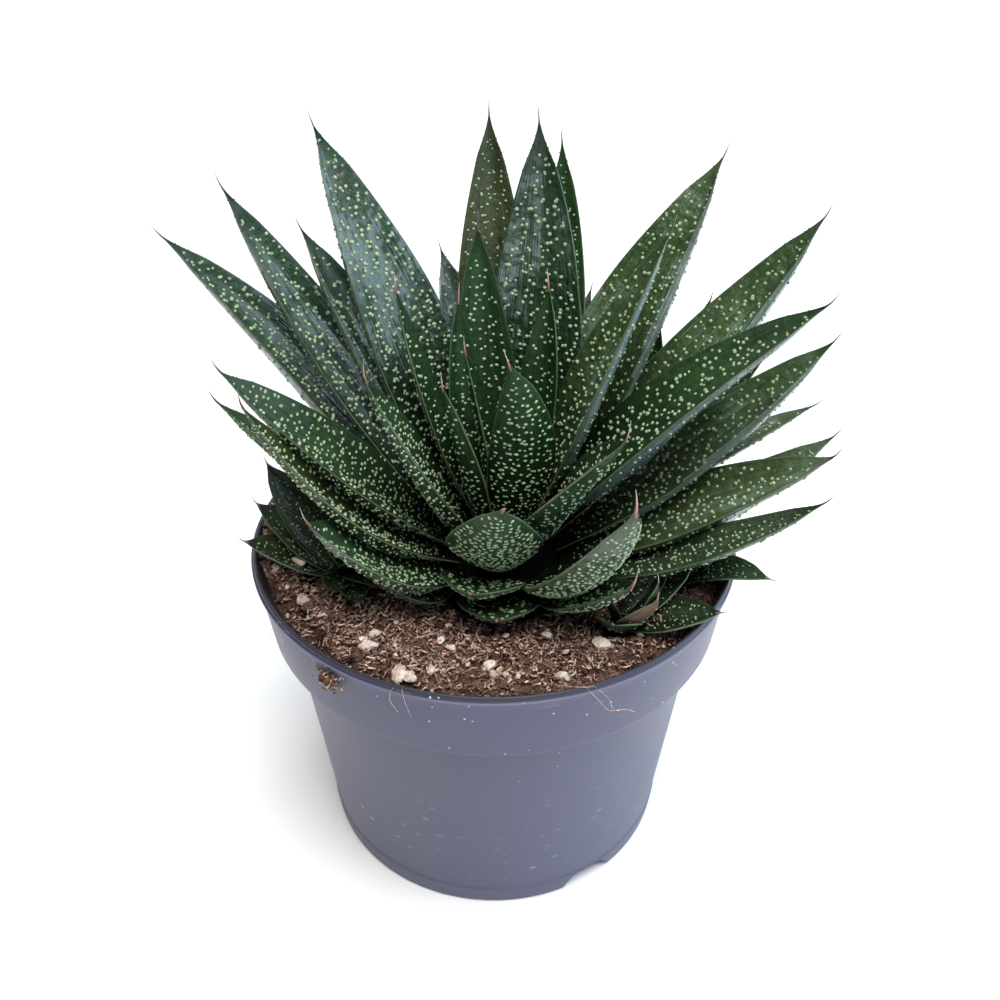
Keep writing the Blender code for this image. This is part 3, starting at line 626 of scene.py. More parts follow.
class Leaf:
    """One leaf of the frame as a smooth surface that can be asked for any place on it."""

    def __init__(self, spec, centre, height, radius, root, draw, awn, curl, keel=0.0):
        self.spec, self.draw, self.keel, self.strip = spec, draw, keel, False
        self.outward, self.sideways = leaf_frame(spec[0])
        self.middle = np.array((centre[0], centre[1], height))
        self.seat = radius + 2 * GAP
        self.start = self.middle + np.asarray(root) * self.seat
        self.tip = leaf_tip(spec, centre)
        chord = self.tip - self.start
        rise = math.atan2(chord[2], chord @ self.outward) + math.radians(spec[4])
        length = np.linalg.norm(chord)
        self.bend = (self.start + self.sideways * spec[5] + length * 0.5 *
                     (self.outward * math.cos(rise) + np.array((0, 0, math.sin(rise)))))
        self.curl, self.awn, self.awn_from = 0.0, awn, 1.0
        table = np.linspace(0, 1, 60)
        steps = np.linalg.norm(np.diff(self.line(table)[0], axis=0), axis=1)
        self.table, self.arc = table, np.concatenate(([0.0], np.cumsum(steps)))
        self.length = self.arc[-1]
        self.awn_from = 1 - awn / self.length
        self.curl = curl
        self.skin, self.under = SKIN, UNDER
        self.creases = [(draw.uniform(-0.75, 0.75), draw.uniform(0.25, 0.5), draw.uniform(0.9, 1.6))
                        for _ in range(4)]
        self.phases = wobble_phases(draw, 1.0)

    def line(self, along):
        t = np.asarray(along, dtype=float)[:, None]
        point = self.start * (1 - t) ** 2 + self.bend * 2 * t * (1 - t) + self.tip * t ** 2
        share = np.clip((t - self.awn_from) / max(1 - self.awn_from, 1e-6), 0.0, 1.0)
        tangent = unit((self.bend - self.start) * (1 - t) + (self.tip - self.bend) * t)
        side = unit(self.sideways - tangent * (tangent @ self.sideways)[:, None])
        normal = np.cross(side, tangent)
        flip = np.where(normal @ (np.array((0, 0, 1)) - self.outward * 0.6) < 0, -1.0, 1.0)
        normal = normal * flip[:, None]
        point = point + normal * (self.curl * self.awn) * share ** 2
        tangent = unit(tangent + normal * 2 * self.curl * share)
        roll = math.radians(self.spec[6]) * (0.3 + 0.7 * t)
        return (point, tangent, side * np.cos(roll) + normal * np.sin(roll),
                normal * np.cos(roll) - side * np.sin(roll))

    def half_width(self, along):
        u = np.asarray(along, dtype=float)
        rise = np.sin(math.pi / 2 * np.minimum(u / WIDEST_AT, 1.0)) ** BASE_SWELL
        swell = BASE_SHARE + (1 - BASE_SHARE) * rise
        taper = 1 - np.maximum((u - WIDEST_AT) / (1 - WIDEST_AT), 0.0) ** TAPER
        uneven = 1 + 0.02 * wobble(u * 9, 0.0, self.phases)
        half = self.spec[3] / 2 * np.where(u < WIDEST_AT, swell, taper) * uneven
        return np.maximum(half, THINNEST) * self.tail(u)

    def tail(self, u):
        """Share of the full section that is left where the leaf runs out into its bristle."""
        start = self.awn_from - 0.09
        return 1 - (1 - TAIL) * np.clip((np.asarray(u) - start) / (1 - start), 0, 1) ** 1.4

    def depth(self, along):
        u = np.asarray(along, dtype=float)
        belly = 0.55 + 0.45 * np.minimum(u / 0.25, 1.0)
        thinnest = 1.0 - 0.6 * smooth_step(0.7, 0.95, u)
        return np.maximum(leaf_thickness(self.spec) * belly * (1 - u) ** 0.6, thinnest) * self.tail(u)

    def edge(self, along):
        u = np.asarray(along, dtype=float)
        return EDGE * (1 - 0.5 * smooth_step(0.75, 0.98, u)) * self.tail(u)

    def surface(self, along, across, face):
        """Points on the upper (1) or lower (-1) side; across runs from -1 to 1."""
        point, _, side, normal = self.line(along)
        half = self.half_width(along)
        edge = self.edge(along)
        rim = self.spec[7] * half * across ** 2
        inner = (1 - np.abs(across) ** 3) * np.minimum(half / 4, 1.0) * self.tail(along)
        if face > 0:
            offset = rim + edge / 2 * np.sqrt(across ** 2 + 0.004)
            for where, depth, width in self.creases:
                near = (across - where - 0.05 * np.sin(7 * along + where * 20)) * half / width
                offset = offset - depth * np.exp(-near ** 2) * inner * smooth_step(0.1, 0.4, along)
        else:
            offset = rim - edge / 2 - (self.depth(along) - edge / 2) * self.under_profile(along, across)
        height, pace = UNEVEN[face]
        uneven = wobble(across * half * 0.5, along * self.length * pace, self.phases)
        offset = offset + height * uneven * inner
        return point + side * (across * half)[:, None] + normal * offset[:, None]

    def under_profile(self, along, across):
        """Share of the full depth under the leaf; a keel moves the deepest line to one side."""
        if not self.keel:
            return 1 - np.abs(across) ** 1.6
        keel = abs(self.keel) * smooth_step(0.02, 0.3, along) * (1 - 0.3 * smooth_step(0.8, 1.0, along))
        t = across * np.sign(self.keel)
        near = 1 - np.clip((t - keel) / (1 - keel), 0, 1) ** 1.8
        far = 1 - np.clip((keel - t) / (1 + keel), 0, 1) ** 1.8
        return np.where(t > keel, near, far)

    def normal_at(self, along, across, face):
        step = 0.004
        forward = (self.surface(np.minimum(along + step, 1), across, face)
                   - self.surface(np.maximum(along - step, 0), across, face))
        right = (self.surface(along, np.minimum(across + 0.03, 1), face)
                 - self.surface(along, np.maximum(across - 0.03, -1), face))
        forward = unit(forward)
        normal = unit(np.cross(right, forward))
        _, _, _, up = self.line(along)
        normal *= np.where((normal * up).sum(axis=1) * face < 0, -1.0, 1.0)[:, None]
        return normal, forward


def add_leaf_body(piece, leaf, rows, top, below):
    """Closed skin of the leaf: upper side, rounded margin, lower side, rounded margin."""
    along = 1 - (1 - np.linspace(0, 1, rows)) ** 1.25
    over = np.linspace(-1, 1, top)
    under = np.sin(np.linspace(math.pi / 2, -math.pi / 2, below))
    arc = np.radians((55.0, 0.0, -55.0))
    rings = []
    for u in along:
        here = np.array([u])
        _, _, side, normal = leaf.line(here)
        upper = leaf.surface(np.full(top, u), over, 1)
        lower = leaf.surface(np.full(below, u), under, -1)
        bulge = leaf.edge(here)[0] / 2
        margins = []
        for sign, first, last in ((1, upper[-1], lower[0]), (-1, upper[0], lower[-1])):
            centre = (first + last) / 2
            margins.append([centre + side[0] * sign * bulge * math.cos(a) + normal[0] * bulge * math.sin(a)
                            for a in arc])
        rings.append(np.concatenate([upper, margins[0], lower, margins[1][::-1]]))
    rings[0] = leaf.middle + unit(rings[0] - leaf.middle) * leaf.seat
    count = top + below + 6
    across = np.concatenate([over, (1, 1, 1), under, (-1, -1, -1)]) * 0.5 + 0.5
    points = np.concatenate(rings)
    places = np.stack([np.tile(across, rows), np.repeat(along, count)], axis=-1)
    faces = grid_faces(rows, count, True)
    column = np.tile(np.arange(count), rows - 1)
    on_margin = ((column >= top) & (column < top + 2)) | ((column >= count - 3) & (column < count - 1))
    lower = (column >= top + 3) & (column < top + 2 + below)
    if leaf.keel:
        beside = under * np.sign(leaf.keel) - abs(leaf.keel) + 0.02
        beside = np.concatenate([np.zeros(top + 3), beside, np.zeros(3)])
        lower = lower & (beside[column] > 0)
    slots = np.where(on_margin, MARGIN, np.where(lower, leaf.under, leaf.skin))
    # Painted sheen: the pale lower skin laid on the upper side beside the near margin.
    if leaf.strip:
        beside = (over[:-1] + over[1:]) / 2 * np.sign(leaf.keel)
        beside = np.concatenate([beside, np.full(count - top + 1, -1.0)])
        reach = 1 - 0.30 * smooth_step(0.34, 0.60, np.repeat(along[:-1], count))
        slots = np.where(beside[column] > reach, leaf.under, slots)
    piece.add(points, faces[:, ::-1], slots, places)
    for ring, u, turned in ((rings[0], along[0], False), (rings[-1], along[-1], True)):
        places = np.stack([np.append(across, 0.5), np.full(count + 1, u)], axis=-1)
        add_cap(piece, ring, ring.mean(axis=0), leaf.skin, places, turned)


def add_awn(piece, leaf, thickness):
    """Tapered bristle that grows out of the leaf's end and runs on past it, bent by the curl."""
    rows, sides = 10, 6
    share = np.linspace(0, 1, rows)
    beyond = BRISTLE_BEYOND * (leaf.spec[3] / 20) ** 0.5
    first = 0.8 * leaf.awn
    run = leaf.length - first + share * (first + beyond)
    point, tangent, side, normal = leaf.line(np.minimum(run / leaf.length, 1.0))
    past = np.maximum(run - leaf.length, 0.0)[:, None]
    point = point + tangent * past + normal * 0.12 * leaf.curl * past ** 2
    radius = thickness * (1 - share) ** 1.3 + 0.04
    turn = circle(sides)
    ring = (point[:, None] + side[:, None] * (np.cos(turn)[None, :, None] * radius[:, None, None])
            + normal[:, None] * (np.sin(turn)[None, :, None] * radius[:, None, None]))
    places = np.stack([np.tile(turn / math.tau, rows), np.repeat(share, sides)], axis=-1)
    piece.add(ring.reshape(-1, 3), grid_faces(rows, sides, True), AWN, places)
    for index in (0, rows - 1):
        add_cap(piece, ring[index], point[index], AWN, (0.5, share[index]), index == 0)


def add_domes(piece, leaf, face, along, across, radius, stretch, height, tint, sides=6):
    """Rounded tubercles, sunk a little, each with its own size; u of the map is the height."""
    place = leaf.surface(along, across, face)
    normal, forward = leaf.normal_at(along, across, face)
    right = np.cross(normal, forward)
    turn = circle(sides)
    rings = []
    for size, level in ((1.0, -0.25), (0.74, 0.62)):
        wide = (radius * stretch * size)[:, None, None] * np.cos(turn)[None, :, None]
        long = (radius * size)[:, None, None] * np.sin(turn)[None, :, None]
        rings.append(place[:, None] + right[:, None] * wide + forward[:, None] * long
                     + normal[:, None] * (height * level)[:, None, None])
    peak = place[:, None] + normal[:, None] * height[:, None, None]
    points = np.concatenate(rings + [peak], axis=1).reshape(-1, 3)
    count, each = len(place), 2 * sides + 1
    step = np.arange(sides)
    after = (step + 1) % sides
    shift = (np.arange(count) * each)[:, None, None]
    parts = ((after, step, sides + after), (sides + after, step, sides + step),
             (sides + after, sides + step, np.full(sides, 2 * sides)))
    faces = np.concatenate([(np.stack(part, axis=-1)[None] + shift).reshape(-1, 3) for part in parts])
    level = np.concatenate([np.zeros(sides), np.full(sides, 0.7), [1.0]])
    piece.add(points, faces, STUD, np.stack([np.tile(level, count), np.repeat(tint, each)], axis=-1))


def add_studs(piece, leaf, face, row_step, spacing, radius, stretch, height, jitter):
    """Tubercles in loose, slightly bowed rows, smaller and closer towards both ends."""
    draw = leaf.draw
    alongs, acrosses = [], []
    run = leaf.length * 0.06
    while run < leaf.length * (leaf.awn_from - 0.03):
        u = np.interp(run, leaf.arc, leaf.table)
        half = float(leaf.half_width([u])[0])
        room = half - (0.75 if face > 0 else 0.35)
        if room > 0.3:
            number = max(int(round(2 * room / spacing)), 1)
            offset = draw.uniform(-0.5, 0.5)
            for index in range(number + 1):
                x = (index + offset + draw.normal(0, jitter)) * spacing - room
                gap = 0.06 + 0.22 * max(float(wobble(x * 0.45, run * 0.21, leaf.phases)), 0.0)
                if abs(x) < room and draw.random() > gap:
                    bow = 0.16 * x * x / half
                    y = run + draw.normal(0, jitter) * row_step - bow
                    if 0.03 * leaf.length < y < leaf.length * (leaf.awn_from - 0.02):
                        alongs.append(np.interp(y, leaf.arc, leaf.table))
                        acrosses.append(x / half)
        run += row_step * (0.72 + 0.45 * smooth_step(0.1, 0.6, u))
    if not alongs:
        return
    along, across = np.array(alongs), np.clip(np.array(acrosses), -0.97, 0.97)
    size = draw.uniform(0.72, 1.15, len(along)) * (0.70 + 0.30 * smooth_step(0.05, 0.4, along))
    size *= 1 - 0.35 * smooth_step(0.75, 1.0, along)
    tint = draw.random(len(along)) * (0.25 + 0.75 * smooth_step(0.10, 0.42, along))
    add_domes(piece, leaf, face, along, across, radius * size,
              draw.uniform(0.85, 1.15, len(along)) * stretch, height * size, tint)


def add_flank_studs(piece, leaf, rows, step, radius):
    """Rows of tubercles down the steep flank between the margin and the keel."""
    draw, keel = leaf.draw, abs(leaf.keel)
    for row in range(rows):
        run = np.arange(leaf.length * 0.12, leaf.length * (leaf.awn_from - 0.02), step)
        run = run + draw.normal(0, 0.3 * step, len(run))
        along = np.clip(np.interp(run, leaf.arc, leaf.table), 0.03, 0.97)
        down = np.clip((row + 0.5 + draw.normal(0, 0.16, len(run))) / rows, 0.06, 0.94)
        across = np.sign(leaf.keel) * (keel + (1 - keel) * down ** 0.6)
        size = draw.uniform(0.7, 1.2, len(run)) * (1 - 0.4 * smooth_step(0.7, 1.0, along))
        add_domes(piece, leaf, -1, along, across, radius * size, 1.2, 0.28 * size, draw.random(len(run)))


def add_edge_studs(piece, leaf, step, radius):
    """A row of larger tubercles along the near margin of the upper side."""
    draw = leaf.draw
    run = np.arange(leaf.length * 0.16, leaf.length * (leaf.awn_from - 0.08), step)
    run = run + draw.normal(0, 0.25 * step, len(run))
    along = np.interp(run, leaf.arc, leaf.table)
    across = np.sign(leaf.keel) * (1 - 0.7 / leaf.half_width(along))
    size = draw.uniform(0.7, 1.15, len(run))
    tint = 0.6 + 0.4 * draw.random(len(run))
    add_domes(piece, leaf, 1, along, across, radius * size, 1.0, 0.45 * size, tint)


def add_teeth(piece, leaf, length):
    """Small cartilage teeth along both margins, leaning towards the tip."""
    draw = leaf.draw
    runs = np.arange(leaf.length * 0.12, leaf.length * (leaf.awn_from - 0.01), TOOTH_STEP)
    for sign in (-1.0, 1.0):
        run = runs + draw.normal(0, 0.25 * TOOTH_STEP, len(runs))
        along = np.interp(run, leaf.arc, leaf.table)
        point, tangent, side, normal = leaf.line(along)
        half = leaf.half_width(along)
        base = point + side * (sign * (half + 0.12))[:, None] + normal * (leaf.spec[7] * half)[:, None]
        size = draw.uniform(0.6, 1.15, len(along))[:, None]
        aim = unit(side * sign + tangent * 0.7 + normal * draw.normal(0.15, 0.2, len(along))[:, None])
        peak = base + aim * length * size
        long, high = tangent * TOOTH_WIDTH * size, normal * TOOTH_WIDTH * 0.8 * size
        around = np.stack([base + long, base + high, base - long, base - high, peak], axis=1)
        faces = np.array([(0, 1, 4), (1, 2, 4), (2, 3, 4), (3, 0, 4)])
        if sign > 0:
            faces = faces[:, [1, 0, 2]]
        add_copies(piece, around, faces, MARGIN, np.full((len(along) * 5, 2), 0.5))


def add_leaf(piece, leaf, style, detail):
    add_leaf_body(piece, leaf, *DETAIL[detail])
    add_awn(piece, leaf, BRISTLES[style])
    for face, values in STUDS[style].items():
        add_studs(piece, leaf, face, *values)
    if leaf.keel:
        add_flank_studs(piece, leaf, *FLANK_ROWS[style])
        if style == "dense":
            add_edge_studs(piece, leaf, *EDGE_ROW)
    add_teeth(piece, leaf, TEETH[style])


# ------------------------------------------------------------------ making the plant
def seeded(name):
    return np.random.default_rng(sum((index + 3) * ord(letter) for index, letter in enumerate(name)))


def make_rosette(skins, stud, margin, awns):
    specs = {**LEAVES, **HEART}
    roots = dict(zip(specs, spread_roots(list(specs.values()), CROWN_CENTRE, CROWN_HEIGHT, CROWN_RADIUS)))
    for name, spec in LEAVES.items():
        group = name.split("_")[1]
        style, upper, lower, awn, curl, keel = LOOKS.get(name, LOOKS[group])
        leaf = Leaf(spec, CROWN_CENTRE, CROWN_HEIGHT, CROWN_RADIUS, roots[name], seeded(name), awn, curl,
                    keel)
        leaf.strip = name in PAINTED_SHEEN_LEAVES
        piece = Piece()
        add_leaf(piece, leaf, style, "young" if group == "young" else "leaf")
        bristle = awns["pink" if group in ("front", "young") else "brown"]
        made = piece.build(name.replace("leaf_", "blade_"),
                           [skins[upper], stud, margin, bristle, skins[lower]])
        declare(made, name)
    crown = Piece()
    # The crown's dome takes the near-black crown skin: painted shade.
    add_crown(crown, CROWN_CENTRE, CROWN_HEIGHT, CROWN_RADIUS, CROWN_BASE, 64, SHADE)
    inside = CROWN_RADIUS - HEART_SINK
    for name, spec in HEART.items():
        leaf = Leaf(spec, CROWN_CENTRE, CROWN_HEIGHT, inside, roots[name], seeded(name), *HEART_AWN)
        leaf.start = leaf.middle + roots[name] * inside
        add_leaf(crown, leaf, "small", "heart")
    pale, shade = skins["pale"], skins["shade"]
    made = crown.build("crown_heart", [pale, stud, margin, awns["pink"], pale, shade, shade])
    declare(made, "crown")


def add_crown(piece, centre, height, radius, base, segments, slot):
    """Stem and dome with the faint collar marks of the leaves that grew on it."""
    levels = [(0.0, base), (radius - 0.8, base), (radius, base + 0.8)]
    levels += [(radius, base + 0.8 + (height - base - 0.8) * k / 4) for k in range(1, 5)]
    levels += [(radius * math.cos(math.pi / 2 * k / 18), height + radius * math.sin(math.pi / 2 * k / 18))
               for k in range(1, 18)]
    turn = circle(segments)
    rings = []
    for r, z in levels[1:]:
        mark = 0.12 * math.sin(z * 3.1)
        lobe = 1 + 0.006 * np.sin(turn * 9 + z)
        out = (r - 0.12 + mark) * lobe
        rings.append(np.stack([centre[0] + out * np.cos(turn), centre[1] + out * np.sin(turn),
                               np.full(segments, z)], axis=-1))
    points = np.concatenate(rings)
    share = np.repeat(np.linspace(0, 1, len(rings)), segments)
    places = np.stack([np.tile(turn / math.tau, len(rings)), share * 0.12], axis=-1)
    piece.add(points, grid_faces(len(rings), segments, True), slot, places)
    for ring, z in ((rings[0], base), (rings[-1], height + radius - 0.1)):
        add_cap(piece, ring, (*centre, z), slot, (0.5, 0.05), z == base)


def make_offsets(skins, stud, margin, awns):
    for name, (centre, specs) in OFFSETS.items():
        piece = Piece()
        add_crown(piece, centre, OFFSET_HEIGHT - 1.5, OFFSET_RADIUS - 1.2, OFFSET_BASE, 32, SHADE)
        for index, spec in enumerate(specs + PUP_HEARTS[name]):
            root = home_root(spec, centre, OFFSET_HEIGHT)
            draw = seeded(f"{name}_{index}")
            leaf = Leaf(spec, centre, OFFSET_HEIGHT, OFFSET_RADIUS - PUP_SINK, root, draw, *PUP_AWN)
            leaf.start = leaf.middle + root * (OFFSET_RADIUS - PUP_SINK)
            if (name, index) in DRY_LEAVES:
                leaf.skin = leaf.under = DRY
            add_leaf(piece, leaf, "small", "pup")
        skin = skins["deep" if name in ("offset_back", "offset_right") else "offset"]
        made = piece.build(name.replace("offset", "pup"),
                           [skin, stud, margin, awns["pink"], skin, skins["dry"], skins["shade"]])
        declare(made, name)


# ------------------------------------------------------------------ pot
def turned_points(profile, segments):
    turn = circle(segments)
    return np.concatenate([np.stack([r * np.cos(turn), r * np.sin(turn), np.full(segments, z)], axis=-1)
                           for r, z in profile])


def rounded(profile, reach, cuts=3):
    """Round each inner corner of a profile with a short curve of the given reach."""
    out = [profile[0]]
    for before, corner, after in zip(profile, profile[1:], profile[2:]):
        before, corner, after = (np.array(item, dtype=float) for item in (before, corner, after))
        back, ahead = before - corner, after - corner
        cut = min(reach, np.linalg.norm(back) * 0.45, np.linalg.norm(ahead) * 0.45)
        first, last = corner + unit(back) * cut, corner + unit(ahead) * cut
        for step in range(cuts + 1):
            t = step / cuts
            out.append(tuple(first * (1 - t) ** 2 + corner * 2 * t * (1 - t) + last * t ** 2))
    out.append(profile[-1])
    return out


def pot_profile():
    step = POT_HEIGHT - COLLAR_HEIGHT
    outside = [
        (FOOT_RADIUS - 3.4, 0.0), (FOOT_RADIUS - 0.6, 0.0), (FOOT_RADIUS, 0.7),
        (FOOT_RADIUS + 0.5, FOOT_HEIGHT), (FOOT_RADIUS + 0.25, FOOT_HEIGHT + 0.7),
        (WALL_TOP_RADIUS, step - 0.6), (COLLAR_FOOT_RADIUS - 0.5, step + 0.1),
        (COLLAR_FOOT_RADIUS, step + 0.9), (RIM_RADIUS - 1.0, POT_HEIGHT - 3.9),
        (RIM_RADIUS - 0.55, POT_HEIGHT - 1.9), (RIM_RADIUS - 0.05, POT_HEIGHT - 1.65),
        (RIM_RADIUS, POT_HEIGHT - 1.4), (RIM_RADIUS - 0.3, POT_HEIGHT - 1.15),
        (RIM_RADIUS - 0.55, POT_HEIGHT - 0.95), (RIM_RADIUS - 0.6, POT_HEIGHT - 0.3),
        (RIM_RADIUS - 0.85, POT_HEIGHT), (RIM_RADIUS - 1.25, POT_HEIGHT),
        (RIM_RADIUS - 1.5, POT_HEIGHT - 0.3),
    ]
    inside = [
        (RIM_RADIUS - WALL - 1.0, POT_HEIGHT - 2.4), (COLLAR_FOOT_RADIUS - WALL, step + 2.2),
        (WALL_TOP_RADIUS - WALL, step - 1.5), (FOOT_RADIUS - WALL + 0.3, FLOOR_RISE + WALL),
    ]
    return rounded(outside + inside, 0.3)


def make_pot(skin, segments=240):
    below = [(0.0, 0.0), (17.0, 0.0), (19.0, FLOOR_RISE), (FOOT_RADIUS - 4.4, FLOOR_RISE)]
    profile = [(0.02, 0.0)] + rounded(below, 0.8)[1:] + pot_profile() + [(0.02, FLOOR_RISE + WALL)]
    rows = len(profile)
    points = turned_points(profile, segments)
    faces = grid_faces(rows, segments, True)
    turn = np.arange(segments) / segments
    left = np.tile(turn, rows - 1)
    crest = max(range(rows), key=lambda row: (profile[row][1], -row))
    level = [z / POT_HEIGHT if row <= crest else 2 - z / POT_HEIGHT for row, (_, z) in enumerate(profile)]
    low, high = np.repeat(level[:-1], segments), np.repeat(level[1:], segments)
    right = left + 1 / segments
    places = np.stack([np.stack([left, low], -1), np.stack([right, low], -1),
                       np.stack([right, high], -1), np.stack([left, high], -1)], axis=1)
    piece = Piece()
    piece.add(points, faces, 0, places)
    for index in (0, rows - 1):
        ring = points[index * segments:(index + 1) * segments]
        add_cap(piece, ring, (0.0, 0.0, profile[index][1]), 0, (0.5, 0.02), index == 0)
    pot = piece.build("nursery_pot", [skin])
    cleaned(pot.data, WELD)
    cut_openings(pot, skin)
    pot.data.shade_smooth()
    pot.data.set_sharp_from_angle(angle=math.radians(SHARP_FROM))
    declare(pot, "pot")


def cleaned(mesh, distance=0.0):
    """Merge the points that lie closer than the distance, and point all faces outwards."""
    work = bmesh.new()
    work.from_mesh(mesh)
    if distance:
        bmesh.ops.remove_doubles(work, verts=work.verts, dist=distance)
    bmesh.ops.recalc_face_normals(work, faces=work.faces)
    work.to_mesh(mesh)
    work.free()


def tool_object(name, points, faces):
    """A closed body to cut with."""
    mesh = bpy.data.meshes.new(name)
    mesh.from_pydata([Vector(point) * MM for point in points], [], faces)
    cleaned(mesh)
    return bpy.data.objects.new(name, mesh)


def notch_tool(index):
    turn = math.radians(NOTCH_TURN) + math.tau * index / NOTCHES
    along = np.array((math.cos(turn), math.sin(turn), 0.0))
    across = np.array((-math.sin(turn), math.cos(turn), 0.0))
    wide, narrow = NOTCH_WIDTH / 2 + NOTCH_RAMP, NOTCH_WIDTH / 2
    outline = rounded([(-wide, -1.0), (-wide, -0.4), (-narrow, NOTCH_HEIGHT), (narrow, NOTCH_HEIGHT),
                       (wide, -0.4), (wide, -1.0)], 1.2, 4)
    count = len(outline)
    points = [along * distance + across * x + np.array((0, 0, z))
              for distance in (FOOT_RADIUS - 8.0, FOOT_RADIUS + 2.0) for x, z in outline]
    faces = [tuple(range(count)), tuple(range(2 * count - 1, count - 1, -1))]
    faces += [((k + 1) % count, k, count + k, count + (k + 1) % count) for k in range(count)]
    return tool_object("notch", points, faces)


def drain_tool(index, count=24):
    turn = math.radians(NOTCH_TURN) + math.tau * (index + 0.5) / DRAIN_HOLES
    middle = np.array((DRAIN_CIRCLE * math.cos(turn), DRAIN_CIRCLE * math.sin(turn), 0.0))
    around = circle(count)
    ring = middle + np.stack([np.cos(around), np.sin(around), np.zeros(count)], axis=-1) * DRAIN_RADIUS
    points = np.concatenate([ring + (0, 0, -1.0), ring + (0, 0, 12.0)])
    faces = [tuple(range(count - 1, -1, -1)), tuple(range(count, 2 * count))]
    faces += [(k, (k + 1) % count, count + (k + 1) % count, count + k) for k in range(count)]
    return tool_object("drain", points, faces)


def cut_openings(pot, skin):
    """Cut the foot's notches, with rounded corners, and the drain holes."""
    tools = [notch_tool(index) for index in range(NOTCHES)]
    tools += [drain_tool(index) for index in range(DRAIN_HOLES)]
    group = bpy.data.collections.new("pot_tools")
    bpy.context.scene.collection.children.link(group)
    for tool in tools:
        group.objects.link(tool)
    cut = pot.modifiers.new("openings", "BOOLEAN")
    cut.operation = "DIFFERENCE"
    cut.operand_type = "COLLECTION"
    cut.collection = group
    cut.solver = "EXACT"
    bpy.context.view_layer.update()
    graph = bpy.context.evaluated_depsgraph_get()
    result = bpy.data.meshes.new_from_object(pot.evaluated_get(graph))
    pot.modifiers.clear()
    pot.data = result
    if not result.materials:
        result.materials.append(skin)
    for tool in tools:
        bpy.data.objects.remove(tool, do_unlink=True)
    bpy.data.collections.remove(group)


# ------------------------------------------------------------------ soil
# Rise of the loose soil near the rim, of the heap on the left, and depth of the crack there.
BRIM_RISE = 3.2
HEAP_RISE = 3.9
GAP_DROP = 5.0
SOIL_SEED = 71
# Radius of the soil's top, and of the circle in which loose bits are strewn.
SOIL_REACH = 56.3
STREWN_REACH = 57.5
# Map units on the soil for a millimetre.
SOIL_MAP = 0.01
CRUMB_COUNT = 240
SMALL_CHIP_COUNT = 90
STRAND_COUNT = 10300
# A tuft of fibres that has spilled over and stuck to the collar: place, and its distance out.
RIM_CLUMP = (-36.6, -47.0, 82.0)
RIM_CLUMP_STRANDS = 120
RIM_CLUMP_RADIUS = 59.0

# Perlite chips that show best: place on the soil and half size, in millimetres.
CHIPS = (
    (-47.0, -14.0, 2.2), (-52.0, -16.0, 1.3), (-49.0, -20.0, 0.8), (-44.5, -25.5, 1.8),
    (-49.0, -25.0, 1.1), (-27.0, -34.5, 1.3), (-28.2, -40.5, 2.1), (-29.3, -38.6, 1.4),
    (-20.6, -49.0, 2.4), (-18.4, -49.8, 1.7), (-13.7, -47.5, 1.3), (-12.0, -36.7, 1.0),
    (-1.4, -46.0, 1.7), (0.2, -48.6, 1.4), (1.2, -45.6, 1.1), (12.2, -34.2, 1.4),
    (14.6, -49.0, 1.8), (24.0, -39.2, 2.0), (15.7, -41.0, 0.9), (-8.2, -43.5, 0.8),
    (-5.8, -44.5, 0.7), (2.5, -49.5, 0.8), (8.9, -46.5, 0.7), (32.6, -38.3, 0.6),
    (-5.0, -38.5, 0.8), (-9.5, -40.0, 1.1), (6.0, -39.0, 0.7), (46.0, 8.0, 1.9),
    (40.0, 36.0, 2.1), (20.0, 48.0, 1.8), (-8.0, 50.0, 2.2), (-30.0, 40.0, 2.0),
    (-46.0, 22.0, 2.1), (0.0, 42.0, 1.5), (50.0, -6.0, 1.6), (-34.0, 30.0, 1.5), (33.0, 41.0, 1.3),
)

# Larger clods of peat in front: place and half size.
CLODS = (
    (-41.5, -15.0, 2.3), (-36.5, -14.0, 1.9), (3.6, -47.0, 2.1), (6.6, -49.2, 2.6), (11.0, -46.0, 2.3),
    (19.6, -46.5, 2.4), (29.0, -42.0, 2.9), (6.8, -43.5, 2.0), (-30.5, -42.5, 2.4), (-33.0, -38.0, 2.1),
    (-24.0, -46.0, 2.0), (-16.0, -42.0, 2.0), (38.0, -35.0, 2.2), (44.0, -26.0, 2.0), (-50.0, -10.0, 2.2),
    (-43.0, -27.5, 2.0), (-38.0, -33.0, 1.8), (-30.0, -31.0, 1.8), (16.0, -37.0, 1.9), (-5.0, -49.0, 1.9),
)

# Root fibres that hang over the rim or lie on it: a few points and a thickness.
ROOT_FIBRES = (
    (((19.5, -52.5, 86.0), (21.0, -56.5, 88.6), (23.5, -59.6, 88.4), (24.6, -60.9, 86.4),
      (27.5, -59.6, 85.2), (29.4, -58.4, 83.2)), 0.06),
    (((16.5, -51.0, 85.8), (18.6, -56.0, 88.5), (21.3, -59.6, 88.2), (23.6, -60.6, 86.0),
      (26.6, -59.7, 85.4)), 0.06),
    (((-19.6, -53.0, 86.0), (-19.2, -57.2, 88.6), (-18.4, -60.0, 87.8), (-17.5, -60.0, 84.0)), 0.05),
    (((-20.6, -53.5, 86.0), (-21.4, -57.0, 88.6), (-21.6, -59.2, 87.8), (-20.2, -59.2, 84.4)), 0.05),
    (((-45.5, -38.0, 86.5), (-46.2, -38.4, 88.4), (-47.3, -39.4, 87.6), (-46.9, -38.9, 84.6)), 0.05),
    (((-41.0, -30.0, 85.0), (-46.0, -33.5, 87.0), (-49.0, -36.6, 88.6), (-50.2, -38.6, 86.0)), 0.05),
    (((10.0, -52.0, 85.8), (13.5, -55.6, 88.3), (18.5, -56.4, 88.5), (22.6, -54.6, 87.2)), 0.07),
)


